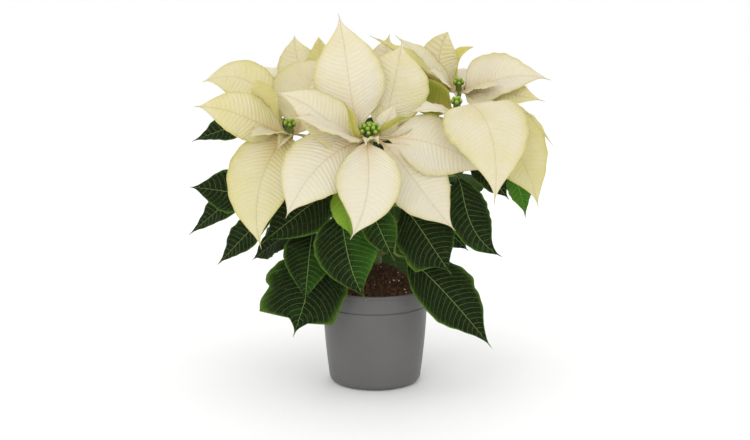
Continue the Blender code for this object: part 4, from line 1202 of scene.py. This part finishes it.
# %% Soil tree
def crumb_tree():
    """A surface in, crumbs scattered on it out."""
    tree, add, given = new_geometry_tree("crumbs_on_soil", Density="Float", Smallest="Float", Largest="Float",
                                         Seed="Int")
    seed = {"Seed": given["Seed"]}
    spread = add("GeometryNodeDistributePointsOnFaces", {
        "Mesh": given["Geometry"], "Density": given["Density"], **seed})
    # One crumb: a ball of few faces, made lumpy.
    ball = add("GeometryNodeMeshIcoSphere", {"Radius": 1.0, "Subdivisions": 2})
    lumps = add(NOISE, {"Scale": 1.3, "Detail": 1.0}, out="Color")
    centred = add(VECTOR_MATH, {0: lumps, 1: (0.5, 0.5, 0.5)}, operation="SUBTRACT")
    rough = add("GeometryNodeSetPosition", {"Geometry": ball, "Offset": centred})
    # Each gets its size, flatness, turn and shade by chance.
    size = add(RANDOM, {2: given["Smallest"], 3: given["Largest"], **seed}, data_type="FLOAT", out=1)
    flat = add(RANDOM, {0: (0.6, 0.6, 0.4), 1: (1.5, 1.1, 0.9), **seed}, data_type="FLOAT_VECTOR")
    scale = add(VECTOR_MATH, {0: flat, "Scale": size}, operation="SCALE")
    turned = add(RANDOM, {0: (0.0, 0.0, 0.0), 1: (6.28, 6.28, 6.28), **seed}, data_type="FLOAT_VECTOR")
    rotation = add("FunctionNodeEulerToRotation", {0: turned})
    placed = add("GeometryNodeInstanceOnPoints", {
        "Points": spread, "Instance": rough, "Rotation": rotation, "Scale": scale})
    luck = add(RANDOM, {2: 0.2, 3: 1.6, **seed}, data_type="FLOAT", out=1)
    shaded = add("GeometryNodeStoreNamedAttribute", {"Geometry": placed, "Name": "shade", "Value": luck},
                 data_type="FLOAT", domain="INSTANCE")
    close_geometry_tree(add, shaded, given["Material"])
    return tree


CRUMB_TREE = crumb_tree()

# %% Soil
# The soil's edge stands this far in from the wall.
SOIL_INSET = 0.0008
SOIL_EDGE_HEIGHT = 0.1085
SOIL_HEAP_HEIGHT = 0.137
SOIL_SIDES = 96
SOIL_WALL_TOP = LEDGE - 0.002
HEAP_ROUNDNESS = 1.3
# The heap ends this far in from its edge and this far under its edge's height.
EDGE_STEP = (0.0006, 0.0005)
# Lumps of the heap, large and small: how high, and how many to a metre.
LUMPS = ((0.0016, 90), (0.0007, 420))
# Crumbs and white grains: how many to a square metre, smallest and largest radius, seed and material.
BITS = {
    "peat_crumbs": (110000.0, 0.0006, 0.0021, 3, peat),
    "perlite_grains": (4200.0, 0.0007, 0.0015, 8, perlite),
}


def heap_height(share):
    """The soil's height at a share of the way from the middle to the wall."""
    heap = SOIL_HEAP_HEIGHT - SOIL_EDGE_HEIGHT
    return SOIL_EDGE_HEIGHT + heap * math.cos(0.5 * math.pi * share) ** HEAP_ROUNDNESS


edge = POT_WALL_TOP - SOIL_INSET - POT_WALL - GAP
top_profile = [(0, heap_height(0))]
top_profile += [(share * edge, heap_height(share)) for share in np.linspace(0.04, 0.96, 24)]
top_profile += [(edge - EDGE_STEP[0], SOIL_EDGE_HEIGHT - EDGE_STEP[1])]
side_profile = [(edge, SOIL_WALL_TOP)]
for share in (0.6, 0):
    level = POT_BASE_ROUNDING + (LEDGE - POT_BASE_ROUNDING) * share
    side_profile.append((wall_radius(level) - POT_WALL - 2 * GAP, level))
side_profile += [(POT_BASE_RADIUS - POT_WALL - GAP, POT_FLOOR + GAP), (0, POT_FLOOR + GAP)]
soil_turning = spin_profile("soil_turning", top_profile + side_profile, SOIL_SIDES)
soil = plain_mesh(soil_turning, "potting_soil_heap")
for vert in soil.data.vertices:
    if vert.co.z > SOIL_EDGE_HEIGHT:
        vert.co.z += sum(size * noise.noise(vert.co * pitch) for size, pitch in LUMPS)
shades = soil.data.attributes.new("shade", "FLOAT", "POINT").data
shades.foreach_set("value", np.full(len(shades), 0.5))
soil.data.shade_smooth()
finish_piece(soil, "potting_soil", [peat])

for name, (density, smallest, largest, seed, material) in BITS.items():
    top = plain_mesh(spin_profile("top_turning", top_profile, SOIL_SIDES // 2), "soil_top")
    bits = run_tree(name, top.data, CRUMB_TREE,
                    Density=density, Smallest=smallest, Largest=largest, Seed=seed, Material=material)
    finish_piece(bits, "potting_soil")

# %% [markdown]
# ## Floor and light
# The plant stands on a plain pale floor. A large soft light high in front gives the bracts their
# bright faces, a weaker one fills the right, and one from behind shines through them. The white sky
# keeps the shadows open.

# %% Floor
FLOOR_REACH = 60.0
floor_paint, add = new_material("white_floor")
cloud = add(NOISE, {"Vector": add(COORDS, out="Object"), "Scale": 3.0})
colour = lay_colours(add, linear("#FAFAFA"), [(cloud, 1.0, "#FDFDFD")])
add(SURFACE, {"Surface": add(PRINCIPLED, {"Base Color": colour, "Roughness": 0.8})})
floor_mesh = bpy.data.meshes.new("floor")
corners = [(-1, -1), (1, -1), (1, 1), (-1, 1)]
floor_mesh.from_pydata([(x * FLOOR_REACH, y * FLOOR_REACH, 0) for x, y in corners], [], [(0, 1, 2, 3)])
floor_mesh.materials.append(floor_paint)
floor = link_object("floor", floor_mesh)

# %% Lights
SKY_STRENGTH = 1.03
PLANT_MIDDLE = Vector((0, 0, 0.25))
# Where each light is, how many metres wide, and its watts.
LIGHTS = {
    "key": ((-0.7, -2.3, 1.2), 1.2, 12),
    "fill": ((1.7, -1.7, 0.7), 1.4, 1.5),
    "back": ((0.3, 1.8, 1.5), 1.2, 8),
}
for name, (place, size, watts) in LIGHTS.items():
    light = bpy.data.lights.new(name, "AREA")
    light.size = size
    light.energy = watts
    lamp = link_object(name, light)
    lamp.location = place
    lamp.rotation_euler = (PLANT_MIDDLE - Vector(place)).to_track_quat("-Z", "Y").to_euler()
sky = bpy.data.worlds.new("white_sky")
sky.use_nodes = True
background = sky.node_tree.nodes["Background"].inputs
background["Color"].default_value = (1.0, 1.0, 1.0, 1.0)
background["Strength"].default_value = SKY_STRENGTH
bpy.context.scene.world = sky
bpy.context.scene.view_settings.view_transform = "Standard"
